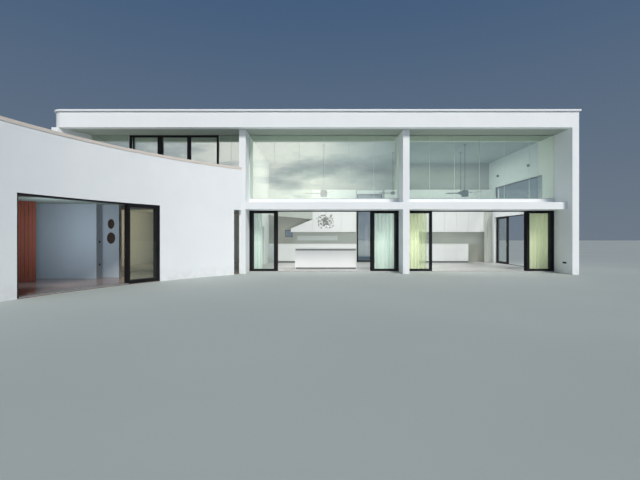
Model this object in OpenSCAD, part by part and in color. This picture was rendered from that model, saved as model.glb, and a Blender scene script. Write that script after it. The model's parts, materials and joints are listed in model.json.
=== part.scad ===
// Modern two-storey beach house: three bays under one flat roof, a glass front set back
// behind slim columns, and a curved screen wall that shelters the entry porch and its terrace.
// Millimetres. Origin on the ground, midway between the outer bay lines and midway between
// the fascia and the back wall. +X to the right seen from the front, +Y to the back, +Z up.

/* [Plan] */
// Distance between neighbouring bay lines
bay = 6840; // [6200:20:7400]
// Thickness of the outer walls and of the columns
wall_t = 270; // [220:5:320]
// Depth of the house, from the fascia to the outside of the back wall
house_depth = 7910; // [7600:10:8600]
// Depth of the open recess between the fascia and the glass line
recess = 1220; // [1000:10:1400]
// Distance from the fascia to the front of the columns and the door beam
beam_setback = 340; // [200:10:500]
// How far the roof reaches past the left wall
left_overhang = 610; // [400:10:800]
// Radius of the roof's front left corner, in plan
roof_corner_r = 400; // [320:10:600]

/* [Heights] */
// Top of the ground floor above the ground outside
floor_z = 20; // [10:5:60]
// Height of the heads of the ground floor doors
door_head = 2700; // [2500:10:2800]
// Height of the beam in front of the door heads
beam_h = 300; // [200:10:340]
// Height from the ground to the top of the sill under the upper glass
sill_top = 3220; // [3150:10:3400]
// Depth of the sill beam, from the glass line inwards
sill_depth = 450; // [420:10:600]
// Height of the ceiling and of the soffit
soffit_z = 6020; // [5700:10:6400]
// Thickness of the roof slab
roof_t = 300; // [200:10:400]
// Height of the fascia
fascia_h = 655; // [560:5:800]
// Height of the groove under the coping
groove_h = 20; // [10:1:30]
// Depth of the groove under the coping
groove_d = 15; // [10:1:40]
// Thickness of the coping
coping_h = 65; // [40:5:100]
// How far the coping reaches past the fascia
coping_out = 60; // [30:5:100]
// Thickness of the upper floor of the left bay
upper_floor_t = 300; // [200:10:400]

/* [Curved wall] */
// Radius of the curved wall's hollow side
curve_r = 12700; // [11500:50:14000]
// Distance from the porch's outer wall to the curved wall, along the front of the porch
curve_in = 2764; // [2500:4:3000]
// How far the corner of the left column stands in from the curved wall's round side
column_lap = 30; // [20:1:60]
// Length of the entry porch, in front of the fascia
porch_len = 8310; // [8200:10:8500]
// Top of the curved wall, under its cap
parapet_z = 4320; // [4200:10:4500]
// Thickness of the parapet cap
cap_h = 90; // [60:5:120]
// How far the parapet cap reaches past each side of the wall
cap_out = 15; // [5:1:30]
// Distance along the curved wall from the left column to the gate
gate_to_column = 3425; // [3300:5:3600]
// Height of the head of the gate
gate_head = 2640; // [2500:10:2700]
// Width of the slot window between the left column and the curved wall
slot_w = 350; // [250:5:450]
// Height of the head of the slot window
slot_head = 2650; // [2500:10:2700]
// Underside of the porch roof
porch_ceiling = 2750; // [2720:10:2850]
// Thickness of the porch roof
porch_roof_t = 400; // [300:10:450]

/* [Porch walls] */
// Thickness of the walls in the porch
inner_t = 200; // [120:10:250]
// Distance from the fascia to the porch's back wall
porch_back = 1610; // [1500:10:1800]
// Depth of the step in the porch's back wall
porch_step = 385; // [300:5:500]
// Distance from the porch's outer wall to the step
step_in = 2510; // [2300:10:2700]
// Distance from the porch's outer wall to the right end of the porch's back wall
hall_in = 3130; // [2900:10:3400]
// Thickness of the timber screen
screen_t = 60; // [40:5:100]
// Length of the timber screen
screen_len = 1250; // [1200:10:1350]
// Angle between the timber screen and the front of the house
screen_deg = 39; // [35:1:45]
// Distance from the fascia to the right end of the timber screen
screen_front = 2510; // [2400:10:2700]
// Distance from the porch's outer wall to the right end of the timber screen
screen_in = 970; // [900:10:1100]

/* [Sliding doors] */
// Width of a leaf's upright frame bar on the side that meets another leaf
stile = 100; // [60:5:120]
// Width of a leaf's upright frame bar on the side of the jamb
jamb_stile = 60; // [50:5:100]
// Height of a leaf's bottom frame bar
rail = 70; // [50:5:120]
// Height of a leaf's top frame bar
top_rail = 45; // [40:5:90]
// Thickness of a leaf
leaf_t = 46; // [36:1:50]
// Distance between neighbouring tracks
track_pitch = 60; // [58:1:66]
// Thickness of a glass pane
glass_t = 24; // [10:1:28]
// Width of the fixed frame at the jambs
jamb = 40; // [30:1:60]
// Height of the head track
head_h = 40; // [25:1:80]
// Height of the sill track above the floor
sill_track = 15; // [10:1:25]
// Clearance round a moving leaf
leaf_gap = 6; // [5:0.5:8]
// Gap between two leaves that meet
meeting_gap = 10; // [10:1:14]
// Clearance at runners and under soft parts
seat_gap = 0.3; // [0.2:0.05:0.5]
// Length of a runner under a leaf
runner_len = 140; // [80:5:200]
// Width of a runner under a leaf
runner_w = 16; // [10:1:24]
// How far each stacked leaf reaches past the one before it
leaf_stagger = 25; // [0:5:40]
// Number of tracks of the front doors of a bay
front_tracks = 3; // [2:1:3]
// Number of tracks of the side door
side_tracks = 2; // [2:1:3]
// Number of tracks of the curved gate
gate_tracks = 4; // [4:1:4]
// Width of a gate leaf along its curve
gate_leaf_w = 1086; // [1050:2:1240]
// Width by which neighbouring gate leaves overlap when shut
gate_lap = 24; // [20:2:60]
// Width of a gate leaf's upright frame bars
gate_stile = 50; // [36:2:80]

/* [Side and back openings] */
// Distance from the fascia to the side door
side_start = 2100; // [2000:10:2400]
// Distance from the outside of the back wall to the side door
side_rear = 960; // [800:10:1200]
// Top of the high window in the right wall
high_window_top = 4450; // [4200:10:4700]
// Width of the tall opening in the back wall
back_gap_w = 1560; // [1400:10:1700]
// Left edge of the tall opening, to the right of the middle of the house
back_gap_x = 2070; // [1950:10:2100]
// Head of the tall opening in the back wall
back_gap_head = 4170; // [3900:10:4400]
// Width of the windows of the left bay
window_w = 1800; // [1200:10:2400]
// Height of the windows of the left bay
window_h = 1300; // [900:10:1500]
// Height of a window above the floor of its storey
window_sill = 950; // [700:10:1100]
// Width of the window frames
frame_w = 50; // [40:5:80]
// Width of the frame of the tall opening
back_frame_w = 90; // [50:5:120]
// Width and height of the small window behind the kitchen
small_window = 440; // [380:10:520]
// Left edge of the small window, to the left of the middle of the house
small_window_left = 2300; // [2200:10:2500]
// Underside of the small window above the ground
small_window_z = 1540; // [1400:10:1700]
// Depth of the window frames
frame_t = 80; // [50:5:120]
// Width of the joint between two frameless panes
pane_joint = 8; // [4:1:12]
// Number of frameless panes over each bay of sliding doors
panes = 6; // [4:1:8]
// Distance from the left wall to the terrace door
terrace_door_in = 1683; // [1500:3:1800]
// Width of the terrace door
terrace_door_w = 3950; // [3800:10:4000]
// Number of leaves of the terrace door
terrace_leaves = 3; // [2:1:4]
// Width of the doorway in the inner wall
doorway_w = 1000; // [800:10:1200]
// Height of the doorway in the inner wall
doorway_h = 2100; // [2000:10:2300]
// Distance from the back of the inner wall to the doorway
doorway_back = 3000; // [2000:10:3500]

/* [Fixed fittings] */
// Width of the kitchen island
island_w = 2915; // [2400:5:3200]
// Depth of the kitchen island
island_d = 900; // [700:10:1100]
// Top of the kitchen island above the ground
island_z = 1000; // [950:5:1100]
// Thickness of the worktops
worktop_t = 40; // [20:1:60]
// Depth of the shadow gap under the worktops
worktop_lip = 30; // [10:1:60]
// Height of the shadow gap under the island's worktop
island_gap_h = 60; // [30:5:90]
// Distance from the glass line to the kitchen island
island_back = 1280; // [1100:10:1500]
// Left edge of the kitchen island, to the left of the middle of the house
island_left = 1365; // [1200:5:1500]
// Depth of the base units
base_unit_d = 600; // [500:10:700]
// Top of the base units above the ground
base_unit_z = 1120; // [1000:10:1200]
// Depth of the wall units
wall_unit_d = 350; // [300:10:450]
// Underside of the wall units above the ground
wall_unit_z = 1840; // [1700:10:1900]
// Top of the wall units above the ground
wall_unit_top = 4380; // [4200:10:4500]
// Width of one unit
unit_w = 700; // [550:10:800]
// Width and depth of the joints between units
unit_joint = 6; // [4:1:12]
// Left edge of the left run of base units, to the left of the middle of the house
units_left = 2700; // [2500:10:2900]
// Left end of the sloped panel under the wall units, to the left of the middle of the house
panel_left = 1930; // [1800:10:2100]
// Height of the low end of the sloped panel above the ground
panel_low = 2050; // [1950:10:2150]
// Height of the high end of the sloped panel above the ground
panel_high = 2600; // [2500:10:2700]
// Left edge of the full wall units, to the left of the middle of the house
wall_units_left = 630; // [500:10:800]
// Underside of the boxing over the sloped panel above the ground, at its left end
boxing_z = 2860; // [2750:10:3000]
// Gap between a run of units and the tall opening
units_gap = 90; // [50:5:150]
// Right end of the right run of base units
low_units_end = 8620; // [8400:10:8800]

/* [Fans and light] */
// Distance from the fascia to the ceiling fans
fan_back = 2900; // [2700:10:3100]
// Diameter of a fan's motor
fan_hub_d = 320; // [240:5:360]
// Height of a fan's motor
fan_hub_h = 320; // [160:5:360]
// Height of a fan's blades above the ground
fan_z = 3650; // [3500:10:3900]
// Radius at a fan blade's tip
fan_r = 950; // [700:10:1100]
// Width of a fan blade
blade_w = 120; // [80:5:160]
// Thickness of a fan blade
blade_t = 12; // [8:1:16]
// Tilt of a fan blade
blade_tilt = 12; // [6:1:16]
// Number of blades of a fan
fan_blades = 3; // [3:1:5]
// Distance from the fascia to the rear fans
rear_fan_back = 4610; // [4500:10:4800]
// Height of the rear fans' blades above the ground
rear_fan_z = 3865; // [3700:5:4000]
// Distance from the middle of the house to the left one of the rear fans
rear_fan_x = 3680; // [3500:10:3900]
// Distance between the rear fans
rear_fan_pitch = 3590; // [3400:10:3700]
// Diameter of a rear fan's motor
rear_hub_d = 240; // [180:10:300]
// Height of a rear fan's motor
rear_hub_h = 150; // [120:10:240]
// Radius at a rear fan blade's tip
rear_fan_r = 740; // [650:10:760]
// Diameter of a fan's rod
rod_d = 32; // [20:1:40]
// Radial clearance of the motor round its rod
fan_clear = 0.4; // [0.3:0.1:1]
// Distance from the fascia to the hanging light
light_back = 5000; // [4900:10:5200]
// How far the hanging light stands to the right of the middle of its bay
light_right = 130; // [0:10:300]
// Height of the middle of the hanging light
light_z = 2393; // [2300:1:2600]
// Radius of the hanging light
light_r = 530; // [440:10:560]
// Diameter of the drum of the hanging light
light_hub_d = 290; // [200:10:320]
// Height of the drum of the hanging light
light_hub_h = 400; // [380:10:440]
// Number of arms in each ring of the hanging light
light_arms = 8; // [6:1:10]
// Angle by which each ring of arms rises from the one below it
light_tilt = 50; // [36:1:52]

/* [Curtains] */
// Thickness of a drawn curtain
curtain_t = 110; // [80:5:130]
// Width of a curtain behind a door stack
curtain_w = 980; // [700:10:1050]
// Width of the curtain in the rear right corner
corner_curtain_w = 500; // [400:10:600]
// Gap between the door tracks and a curtain
curtain_gap = 40; // [20:5:80]
// Height of a curtain's hem above the floor
hem_z = 12; // [5:1:30]

/* [Hidden] */
$fn = 48;
// Number of sides that stand for a full turn of the curved wall
curve_fn = 240;

// Finishes
render_white = [0.93, 0.94, 0.95];
soffit_grey = [0.72, 0.73, 0.70];
stone_grey = [0.62, 0.62, 0.59];
cap_beige = [0.84, 0.76, 0.70];
frame_black = [0.07, 0.07, 0.08];
glass_green = [0.66, 0.80, 0.76, 0.35];
timber_red = [0.42, 0.20, 0.13];
unit_white = [0.94, 0.94, 0.93];
island_stone = [0.90, 0.89, 0.86];
fan_grey = [0.55, 0.57, 0.57];
mint_cloth = [0.80, 0.90, 0.86];
lime_cloth = [0.72, 0.76, 0.52];

// Overlap by which a cutting tool passes the face that it cuts
cut = 10;

// The plan, from left to right and from front to back
function bay_line(i) = (i - 1.5) * bay;
left_inner = bay_line(0);
right_inner = bay_line(3) - wall_t / 2;
right_outer = bay_line(3) + wall_t / 2;
left_outer = left_inner - wall_t;
roof_left = left_outer - left_overhang;
front_y = -house_depth / 2;
back_y = house_depth / 2;
back_inner = back_y - wall_t;
glass_y = front_y + recess;
column_y = front_y + beam_setback;
sill_y = glass_y + sill_depth;
beam_top = door_head + beam_h;
// The two living bays between the columns, as [left, right]
living_bays = [
    [bay_line(1) + wall_t / 2, bay_line(2) - wall_t / 2],
    [bay_line(2) + wall_t / 2, right_inner]
];

// Inner side of the porch's outer wall
porch_left = roof_left + wall_t;
porch_y = front_y - porch_len;
// Left face of the left column, where the curved wall ends
column_face = bay_line(1) - wall_t / 2;

// Centre of a circle to the right of p0 and p1, at a distance r0 from p0 and r1 from p1
function centre_of(p0, r0, p1, r1) =
    let (d = norm(p1 - p0), u = (p1 - p0) / d, a = (r0 ^ 2 - r1 ^ 2 + d ^ 2) / (2 * d))
    p0 + a * u + sqrt(r0 ^ 2 - a ^ 2) * [u[1], -u[0]];

// The curved wall runs from the front of the porch to the left column's front corner
arc_out = curve_r + wall_t;
slot_r = arc_out - column_lap;
curve_centre = centre_of([roof_left + curve_in, porch_y], arc_out,
    [column_face, column_y], slot_r);
curve_x = curve_centre[0];
arc_y = curve_centre[1];
// Angles are measured from the left arm of the curve's axis
arc_start = asin((porch_y - arc_y) / arc_out);
arc_end = atan2(column_y - arc_y, curve_x - column_face);
// Angle that a width along the middle of the curved wall stands for
function turn(w) = w / (curve_r + wall_t / 2) * 180 / PI;
wall_stop = arc_end - turn(slot_w);
gate_right = arc_end - turn(gate_to_column);
gate_a1 = gate_right - turn(jamb + leaf_gap);
gate_a0 = gate_a1 - turn(gate_leaf_w);
gate_left = gate_a1 - turn(gate_tracks * gate_leaf_w - (gate_tracks - 1) * gate_lap
    + jamb + leaf_gap);
// Radius of the middle of the gate's first track
gate_r = curve_r + wall_t / 2 - (gate_tracks - 1) / 2 * track_pitch;
gate_leaf_top = gate_head - head_h - leaf_gap;

// Sliding doors: the leaves of each half of a door set shut to its middle
leaf_z = floor_z + sill_track + leaf_gap;
leaf_top = door_head - head_h - leaf_gap;
function half_clear(w) = w / 2 - jamb;
function leaf_width(w, leaves) =
    (half_clear(w) - meeting_gap / 2 - leaf_gap + (leaves - 1) * stile) / leaves;
front_leaf = leaf_width(living_bays[0][1] - living_bays[0][0], front_tracks);
side_len = house_depth - side_start - side_rear;
side_leaf = leaf_width(side_len, side_tracks);

// The house's solid pieces are boxes given by their lowest and highest corners
module block(low, high) {
    translate(low) cube(high - low);
}

// A stretch of a round wall, from angle a0 to a1 measured from the curve's left axis
module arc_block(r0, r1, a0, a1, z0, z1) {
    translate([curve_x, arc_y, z0])
        rotate([0, 0, 180 - a1])
            rotate_extrude(angle = a1 - a0, $fn = curve_fn)
                translate([r0, 0]) square([r1 - r0, z1 - z0]);
}

// Everything inside the curve, used to trim what meets the curved wall
module curve_disc(r, z0, z1) {
    translate([curve_x, arc_y, z0]) cylinder(r = r, h = z1 - z0, $fn = curve_fn);
}

// Outline of the roof, drawn in by a distance, with its rounded corner
module roof_outline(inset) {
    corner = [roof_left + roof_corner_r, front_y + roof_corner_r];
    translate(corner) circle(r = roof_corner_r - inset);
    translate([corner[0], front_y + inset])
        square([right_outer - inset - corner[0], house_depth - 2 * inset]);
    translate([roof_left + inset, corner[1]])
        square([corner[0] - roof_left - inset, back_y - inset - corner[1]]);
}

// Outline of the wall that flares out from the left wall to the roof's corner
module fin_outline() {
    polygon([
        [roof_left, front_y], [roof_left + wall_t, front_y],
        [left_inner, glass_y], [left_outer, glass_y]
    ]);
}

// Floors

module floor_slab() {
    color(stone_grey) difference() {
        union() {
            block([left_inner, glass_y, 0], [right_inner, back_inner, floor_z]);
            block([right_inner - cut, front_y + side_start, 0],
                [right_outer, front_y + side_start + side_len, floor_z]);
            block([back_gap_x, back_inner - cut, 0],
                [back_gap_x + back_gap_w, back_y, floor_z]);
        }
        for (i = [1, 2])
            block([bay_line(i) - wall_t / 2, glass_y - cut, -cut],
                [bay_line(i) + wall_t / 2, sill_y, floor_z + cut]);
    }
}

module porch_outline() {
    polygon([
        [porch_left, porch_y + wall_t], [column_face, porch_y + wall_t],
        [column_face, glass_y], [left_inner, glass_y], [porch_left, front_y]
    ]);
}

// A floor or roof over the porch, from z0 to z1, trimmed to the curved wall
module porch_slab(z0, z1) {
    difference() {
        translate([0, 0, z0]) linear_extrude(z1 - z0) porch_outline();
        curve_disc(arc_out + seat_gap, z0 - cut, z1 + cut);
    }
}

// The stretch of the curved wall that the gate fills, as wide as the wall or less
module gate_arc(r0, r1, z0, z1) {
    arc_block(r0, r1, gate_left + turn(seat_gap), gate_right - turn(seat_gap), z0, z1);
}

module entry_floor() {
    color(stone_grey) {
        porch_slab(0, floor_z);
        gate_arc(curve_r, arc_out, 0, floor_z);
    }
}

module upper_floor() {
    color(soffit_grey)
        block([left_inner, glass_y, sill_top - upper_floor_t],
            [column_face, back_inner, sill_top]);
}

// Roof

module roof_deck() {
    color(soffit_grey) translate([0, 0, soffit_z])
        linear_extrude(roof_t) roof_outline(wall_t);
}

module roof_parapet() {
    color(render_white) translate([0, 0, soffit_z]) linear_extrude(fascia_h - groove_h)
        difference() {
            roof_outline(0);
            roof_outline(wall_t);
        }
    color(render_white) translate([0, 0, soffit_z + fascia_h - groove_h - cut])
        linear_extrude(groove_h + cut) difference() {
            roof_outline(groove_d);
            roof_outline(wall_t);
        }
}

module roof_coping() {
    color(render_white) translate([0, 0, soffit_z + fascia_h]) linear_extrude(coping_h)
        difference() {
            roof_outline(-coping_out);
            roof_outline(wall_t + coping_out / 2);
        }
}

// Walls of the main block

module right_wall_front() {
    color(render_white)
        block([right_inner, front_y, 0], [right_outer, front_y + side_start, soffit_z]);
}

module right_wall_rear() {
    color(render_white)
        block([right_inner, front_y + side_start + side_len, 0],
            [right_outer, back_inner, soffit_z]);
}

module right_wall_over_door() {
    side_y = [front_y + side_start, front_y + side_start + side_len];
    color(render_white)
        block([right_inner, side_y[0], door_head], [right_outer, side_y[1], sill_top]);
    color(render_white)
        block([right_inner, side_y[0], high_window_top], [right_outer, side_y[1], soffit_z]);
}

module left_fin() {
    color(render_white) linear_extrude(soffit_z) fin_outline();
}

// The heights at which the left bay's two storeys have their floors
storeys = [floor_z, sill_top];
left_window_y = (glass_y + back_inner - window_w) / 2;
rear_window_x = (left_inner + column_face - window_w) / 2;

// The left wall has a window upstairs only
module left_wall() {
    z = storeys[1] + window_sill;
    color(render_white) difference() {
        block([left_outer, glass_y, 0], [left_inner, back_inner, soffit_z]);
        block([left_outer - cut, left_window_y, z],
            [left_inner + cut, left_window_y + window_w, z + window_h]);
    }
}

module back_wall_left() {
    color(render_white) difference() {
        block([left_outer, back_inner, 0], [column_face, back_y, soffit_z]);
        for (z = storeys)
            block([rear_window_x, back_inner - cut, z + window_sill],
                [rear_window_x + window_w, back_y + cut, z + window_sill + window_h]);
    }
}

module back_wall_right() {
    color(render_white) difference() {
        block([column_face, back_inner, 0], [right_outer, back_y, soffit_z]);
        block([back_gap_x, back_inner - cut, -cut],
            [back_gap_x + back_gap_w, back_y + cut, back_gap_head]);
        block([-small_window_left, back_inner - cut, small_window_z],
            [small_window - small_window_left, back_y + cut, small_window_z + small_window]);
    }
}

module inner_wall() {
    doorway_y = back_inner - doorway_back;
    color(render_white) difference() {
        block([column_face, sill_y, floor_z], [column_face + wall_t, back_inner, soffit_z]);
        block([column_face - cut, doorway_y, floor_z - cut],
            [column_face + wall_t + cut, doorway_y + doorway_w, floor_z + doorway_h]);
    }
}

// Columns and beams at the glass line

module column(i) {
    color(render_white)
        block([bay_line(i) - wall_t / 2, column_y, 0],
            [bay_line(i) + wall_t / 2, sill_y, soffit_z]);
}

module door_beam() {
    for (b = living_bays)
        color(render_white)
            block([b[0], column_y, door_head], [b[1], glass_y, beam_top]);
}

module glazing_sill() {
    for (b = living_bays)
        color(render_white)
            block([b[0], glass_y, door_head], [b[1], sill_y, sill_top]);
}

// The curved wall and the porch behind it

// The point at height y on the curved wall's outer side, a distance outside it
function on_curve(y, out) =
    [curve_x - sqrt((arc_out + out) ^ 2 - (y - arc_y) ^ 2), y];

// Plan of the porch's left and front walls, widened by a distance on each side
module porch_wall_outline(wide, out) {
    far = porch_left + wide;
    steps = 6;
    polygon(concat(
        [[roof_left - wide, porch_y - wide]],
        [for (i = [0 : steps])
            on_curve(porch_y - wide + i / steps * (wall_t + 2 * wide), out)],
        [[far, porch_y + wall_t + wide], [far, front_y], [roof_left - wide, front_y]]
    ));
}

module curved_wall_right() {
    color(render_white) difference() {
        arc_block(curve_r, arc_out, gate_right, arc_end, 0, parapet_z);
        arc_block(curve_r - cut, arc_out + cut, wall_stop, arc_end + turn(cut), -cut, slot_head);
    }
}

module curved_wall_left() {
    color(render_white)
        arc_block(curve_r, arc_out, arc_start, gate_left, 0, parapet_z);
}

module curved_wall_lintel() {
    color(render_white) gate_arc(curve_r, arc_out, gate_head, parapet_z);
}

module parapet_cap() {
    color(cap_beige) {
        arc_block(curve_r - cap_out, arc_out + cap_out, arc_start, arc_end,
            parapet_z + seat_gap, parapet_z + cap_h);
        translate([0, 0, parapet_z + seat_gap]) linear_extrude(cap_h - seat_gap)
            porch_wall_outline(cap_out, cap_out + seat_gap);
    }
}

module porch_outer_wall() {
    color(render_white) linear_extrude(parapet_z) porch_wall_outline(0, seat_gap);
}

module porch_back_wall() {
    back = front_y - porch_back;
    step = back + porch_step;
    step_x = porch_left + step_in;
    color(render_white) union() {
        block([porch_left, back, floor_z], [step_x, back + inner_t, porch_ceiling]);
        block([step_x - inner_t, back, floor_z], [step_x, step + inner_t, porch_ceiling]);
        block([step_x - inner_t, step, floor_z],
            [porch_left + hall_in, step + inner_t, porch_ceiling]);
    }
}

module timber_screen() {
    color(timber_red) intersection() {
        translate([porch_left + screen_in, front_y - screen_front, floor_z])
            rotate([0, 0, 180 + screen_deg])
                cube([2 * screen_len, screen_t, porch_ceiling - floor_z]);
        block([porch_left, porch_y, 0], [column_face, front_y, porch_ceiling]);
    }
}

module entry_roof() {
    color(soffit_grey) porch_slab(porch_ceiling, porch_ceiling + porch_roof_t);
}

// Glass and frames of the upper storey

// Frameless panes side by side from x0 to x1
module pane_row(x0, x1, n) {
    w = (x1 - x0 + pane_joint) / n;
    for (i = [0 : n - 1])
        block([x0 + i * w, glass_y, sill_top],
            [x0 + (i + 1) * w - pane_joint, glass_y + glass_t, soffit_z]);
}

terrace_x = [left_inner + terrace_door_in, left_inner + terrace_door_in + terrace_door_w];
terrace_leaf = (terrace_door_w - (terrace_leaves + 1) * jamb) / terrace_leaves;

// The glazed opening of each leaf of the terrace door, from y0 to y1
module terrace_lights(y0, y1) {
    for (i = [0 : terrace_leaves - 1]) {
        x = terrace_x[0] + jamb + i * (terrace_leaf + jamb) + stile / 2;
        block([x, y0, sill_top + rail], [x + terrace_leaf - stile, y1, soffit_z - rail]);
    }
}

module upper_glass() {
    middle = glass_y + frame_t / 2;
    color(glass_green) {
        pane_row(left_inner, terrace_x[0], 1);
        pane_row(terrace_x[1], column_face, 2);
        for (b = living_bays)
            pane_row(b[0], b[1], panes);
        terrace_lights(middle - glass_t / 2, middle + glass_t / 2);
    }
}

module terrace_door_frame() {
    color(frame_black) difference() {
        block([terrace_x[0], glass_y, sill_top], [terrace_x[1], glass_y + frame_t, soffit_z]);
        terrace_lights(glass_y - cut, glass_y + frame_t + cut);
    }
}

// Sliding doors. A door set is drawn from its left jamb at x = 0 to its right jamb at x = w,
// with its outer side at y = 0 and its tracks one behind the other.

// The glazed opening of a leaf on one side of its door set: 0 is the left, 1 the right
module leaf_light(w, side, y0, y1) {
    bars = side == 0 ? [jamb_stile, stile] : [stile, jamb_stile];
    block([bars[0], y0, rail], [w - bars[1], y1, leaf_top - leaf_z - top_rail]);
}

module leaf_frame(w, side) {
    difference() {
        cube([w, leaf_t, leaf_top - leaf_z]);
        leaf_light(w, side, -cut, leaf_t + cut);
    }
}

module leaf_glass(w, side) {
    leaf_light(w, side, (leaf_t - glass_t) / 2, (leaf_t + glass_t) / 2);
}

module leaf_at(w, side, track, lw) {
    edge = jamb + leaf_gap + track * leaf_stagger;
    x = side == 0 ? edge : w - edge - lw;
    translate([x, (track + 0.5) * track_pitch - leaf_t / 2, leaf_z]) children();
}

// A fixed leaf fills its end of the outer track up to the jamb, the sill and the head
module fixed_leaf(w, side, lw) {
    x = side == 0 ? jamb - cut : w - jamb - leaf_gap - lw;
    y = (track_pitch - leaf_t) / 2;
    difference() {
        block([x, y, floor_z + sill_track - cut],
            [x + lw + leaf_gap + cut, y + leaf_t, door_head - head_h + cut]);
        leaf_at(w, side, 0, lw) leaf_light(lw, side, -cut, leaf_t + cut);
    }
}

// The tracks and jambs of a door set, with a fixed leaf at each end
module door_set(w, tracks, lw) {
    depth = tracks * track_pitch;
    difference() {
        block([0, 0, floor_z], [w, depth, door_head]);
        block([jamb, -cut, floor_z + sill_track], [w - jamb, depth + cut, door_head - head_h]);
    }
    for (side = [0, 1])
        fixed_leaf(w, side, lw);
}

module door_set_glass(w, lw) {
    for (side = [0, 1])
        leaf_at(w, side, 0, lw) leaf_glass(lw, side);
}

// A moving leaf with its pane and its two runners
module sliding_leaf(w, side, track, lw) {
    color(frame_black) leaf_at(w, side, track, lw) union() {
        leaf_frame(lw, side);
        leaf_glass(lw, side);
        for (x = [stile, lw - stile - runner_len])
            translate([x, (leaf_t - runner_w) / 2, seat_gap - leaf_gap])
                cube([runner_len, runner_w, leaf_gap - seat_gap + cut]);
    }
}

// The front doors of living bay b
module at_front(b) {
    translate([living_bays[b][0], glass_y, 0]) children();
}

module front_leaf_node(b, side, track) {
    w = living_bays[b][1] - living_bays[b][0];
    at_front(b) sliding_leaf(w, side, track, front_leaf);
}

module front_door_frames() {
    for (b = [0, 1])
        color(frame_black) at_front(b)
            door_set(living_bays[b][1] - living_bays[b][0], front_tracks, front_leaf);
}

// The side door stands in the right wall, with its outer side to the right
module at_side() {
    translate([right_outer - jamb, front_y + side_start, 0]) rotate([0, 0, 90]) children();
}

module side_door_frame() {
    color(frame_black) at_side() door_set(side_len, side_tracks, side_leaf);
}

module side_leaf_node(side) {
    at_side() sliding_leaf(side_len, side, side_tracks - 1, side_leaf);
}

// The gate in the curved wall: leaves bent to the curve, one track behind the other

// The glazed part of the leaf on a track, drawn as thick as given
module gate_light(track, thick) {
    r = gate_r + track * track_pitch;
    arc_block(r - thick / 2, r + thick / 2, gate_a0 + turn(gate_stile),
        gate_a1 - turn(gate_stile),
        leaf_z + rail, gate_leaf_top - top_rail);
}

module gate_leaf(track) {
    r = gate_r + track * track_pitch;
    color(frame_black) union() {
        difference() {
            arc_block(r - leaf_t / 2, r + leaf_t / 2, gate_a0, gate_a1, leaf_z,
                gate_leaf_top);
            gate_light(track, leaf_t + 2 * cut);
        }
        gate_light(track, glass_t);
        for (a = [gate_a0 + turn(gate_stile), gate_a1 - turn(gate_stile + runner_len)])
            arc_block(r - runner_w / 2, r + runner_w / 2, a, a + turn(runner_len),
                leaf_z - leaf_gap + seat_gap, leaf_z + cut);
    }
}

// The gate's fixed leaf fills the right end of the first track
module gate_frame() {
    r0 = gate_r - track_pitch / 2;
    r1 = r0 + gate_tracks * track_pitch;
    opening_z = [floor_z + sill_track, gate_head - head_h];
    color(frame_black) union() {
        difference() {
            gate_arc(r0, r1, floor_z, gate_head - seat_gap);
            arc_block(r0 - cut, r1 + cut, gate_left + turn(jamb), gate_right - turn(jamb),
                opening_z[0], opening_z[1]);
        }
        difference() {
            arc_block(gate_r - leaf_t / 2, gate_r + leaf_t / 2, gate_a0,
                gate_right - turn(cut), opening_z[0] - cut, opening_z[1] + cut);
            gate_light(0, leaf_t + 2 * cut);
        }
    }
}

module door_fixed_glass() {
    color(glass_green) {
        for (b = [0, 1])
            at_front(b) door_set_glass(living_bays[b][1] - living_bays[b][0], front_leaf);
        at_side() door_set_glass(side_len, side_leaf);
        gate_light(0, glass_t);
        arc_block(slot_r - glass_t, slot_r, wall_stop + turn(seat_gap),
            arc_end - turn(seat_gap), 0, slot_head - seat_gap);
    }
}

// Windows of the hidden sides: a frame of a width and a height, drawn in the XZ plane

module window_ring(w, h, bar) {
    difference() {
        cube([w, frame_t, h]);
        translate([bar, -cut, bar])
            cube([w - 2 * bar, frame_t + 2 * cut, h - 2 * bar]);
    }
}

module window_pane(w, h, bar) {
    translate([bar, (frame_t - glass_t) / 2, bar])
        cube([w - 2 * bar, glass_t, h - 2 * bar]);
}

// Puts a frame or a pane of each window in its place
module each_window(pane) {
    inset = (wall_t - frame_t) / 2;
    translate([left_outer + inset + frame_t, left_window_y, storeys[1] + window_sill])
        rotate([0, 0, 90]) window_piece(pane, window_w, window_h, frame_w);
    for (z = storeys)
        translate([rear_window_x, back_inner + inset, z + window_sill])
            window_piece(pane, window_w, window_h, frame_w);
    translate([right_inner + inset + frame_t, front_y + side_start, sill_top])
        rotate([0, 0, 90]) window_piece(pane, side_len, high_window_top - sill_top, frame_w);
    translate([back_gap_x, back_inner + inset, floor_z])
        window_piece(pane, back_gap_w, back_gap_head - floor_z, back_frame_w);
    translate([-small_window_left, back_inner + inset, small_window_z])
        window_piece(pane, small_window, small_window, frame_w / 2);
}

module window_piece(pane, w, h, bar) {
    if (pane) window_pane(w, h, bar);
    else window_ring(w, h, bar);
}

module window_frames() {
    color(frame_black) each_window(false);
}

module window_glass() {
    color(glass_green) each_window(true);
}

// Kitchen

island_y = glass_y + island_back;

module kitchen_island() {
    low = [-island_left, island_y, floor_z];
    high = [-island_left + island_w, island_y + island_d, island_z];
    lip = [worktop_lip, worktop_lip, 0];
    body_z = island_z - worktop_t - island_gap_h;
    color(island_stone) union() {
        block([low[0], low[1], island_z - worktop_t], high);
        block(low + lip, [high[0], high[1], island_z - worktop_t + cut] - lip);
        block(low, [high[0], high[1], body_z]);
    }
}

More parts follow.
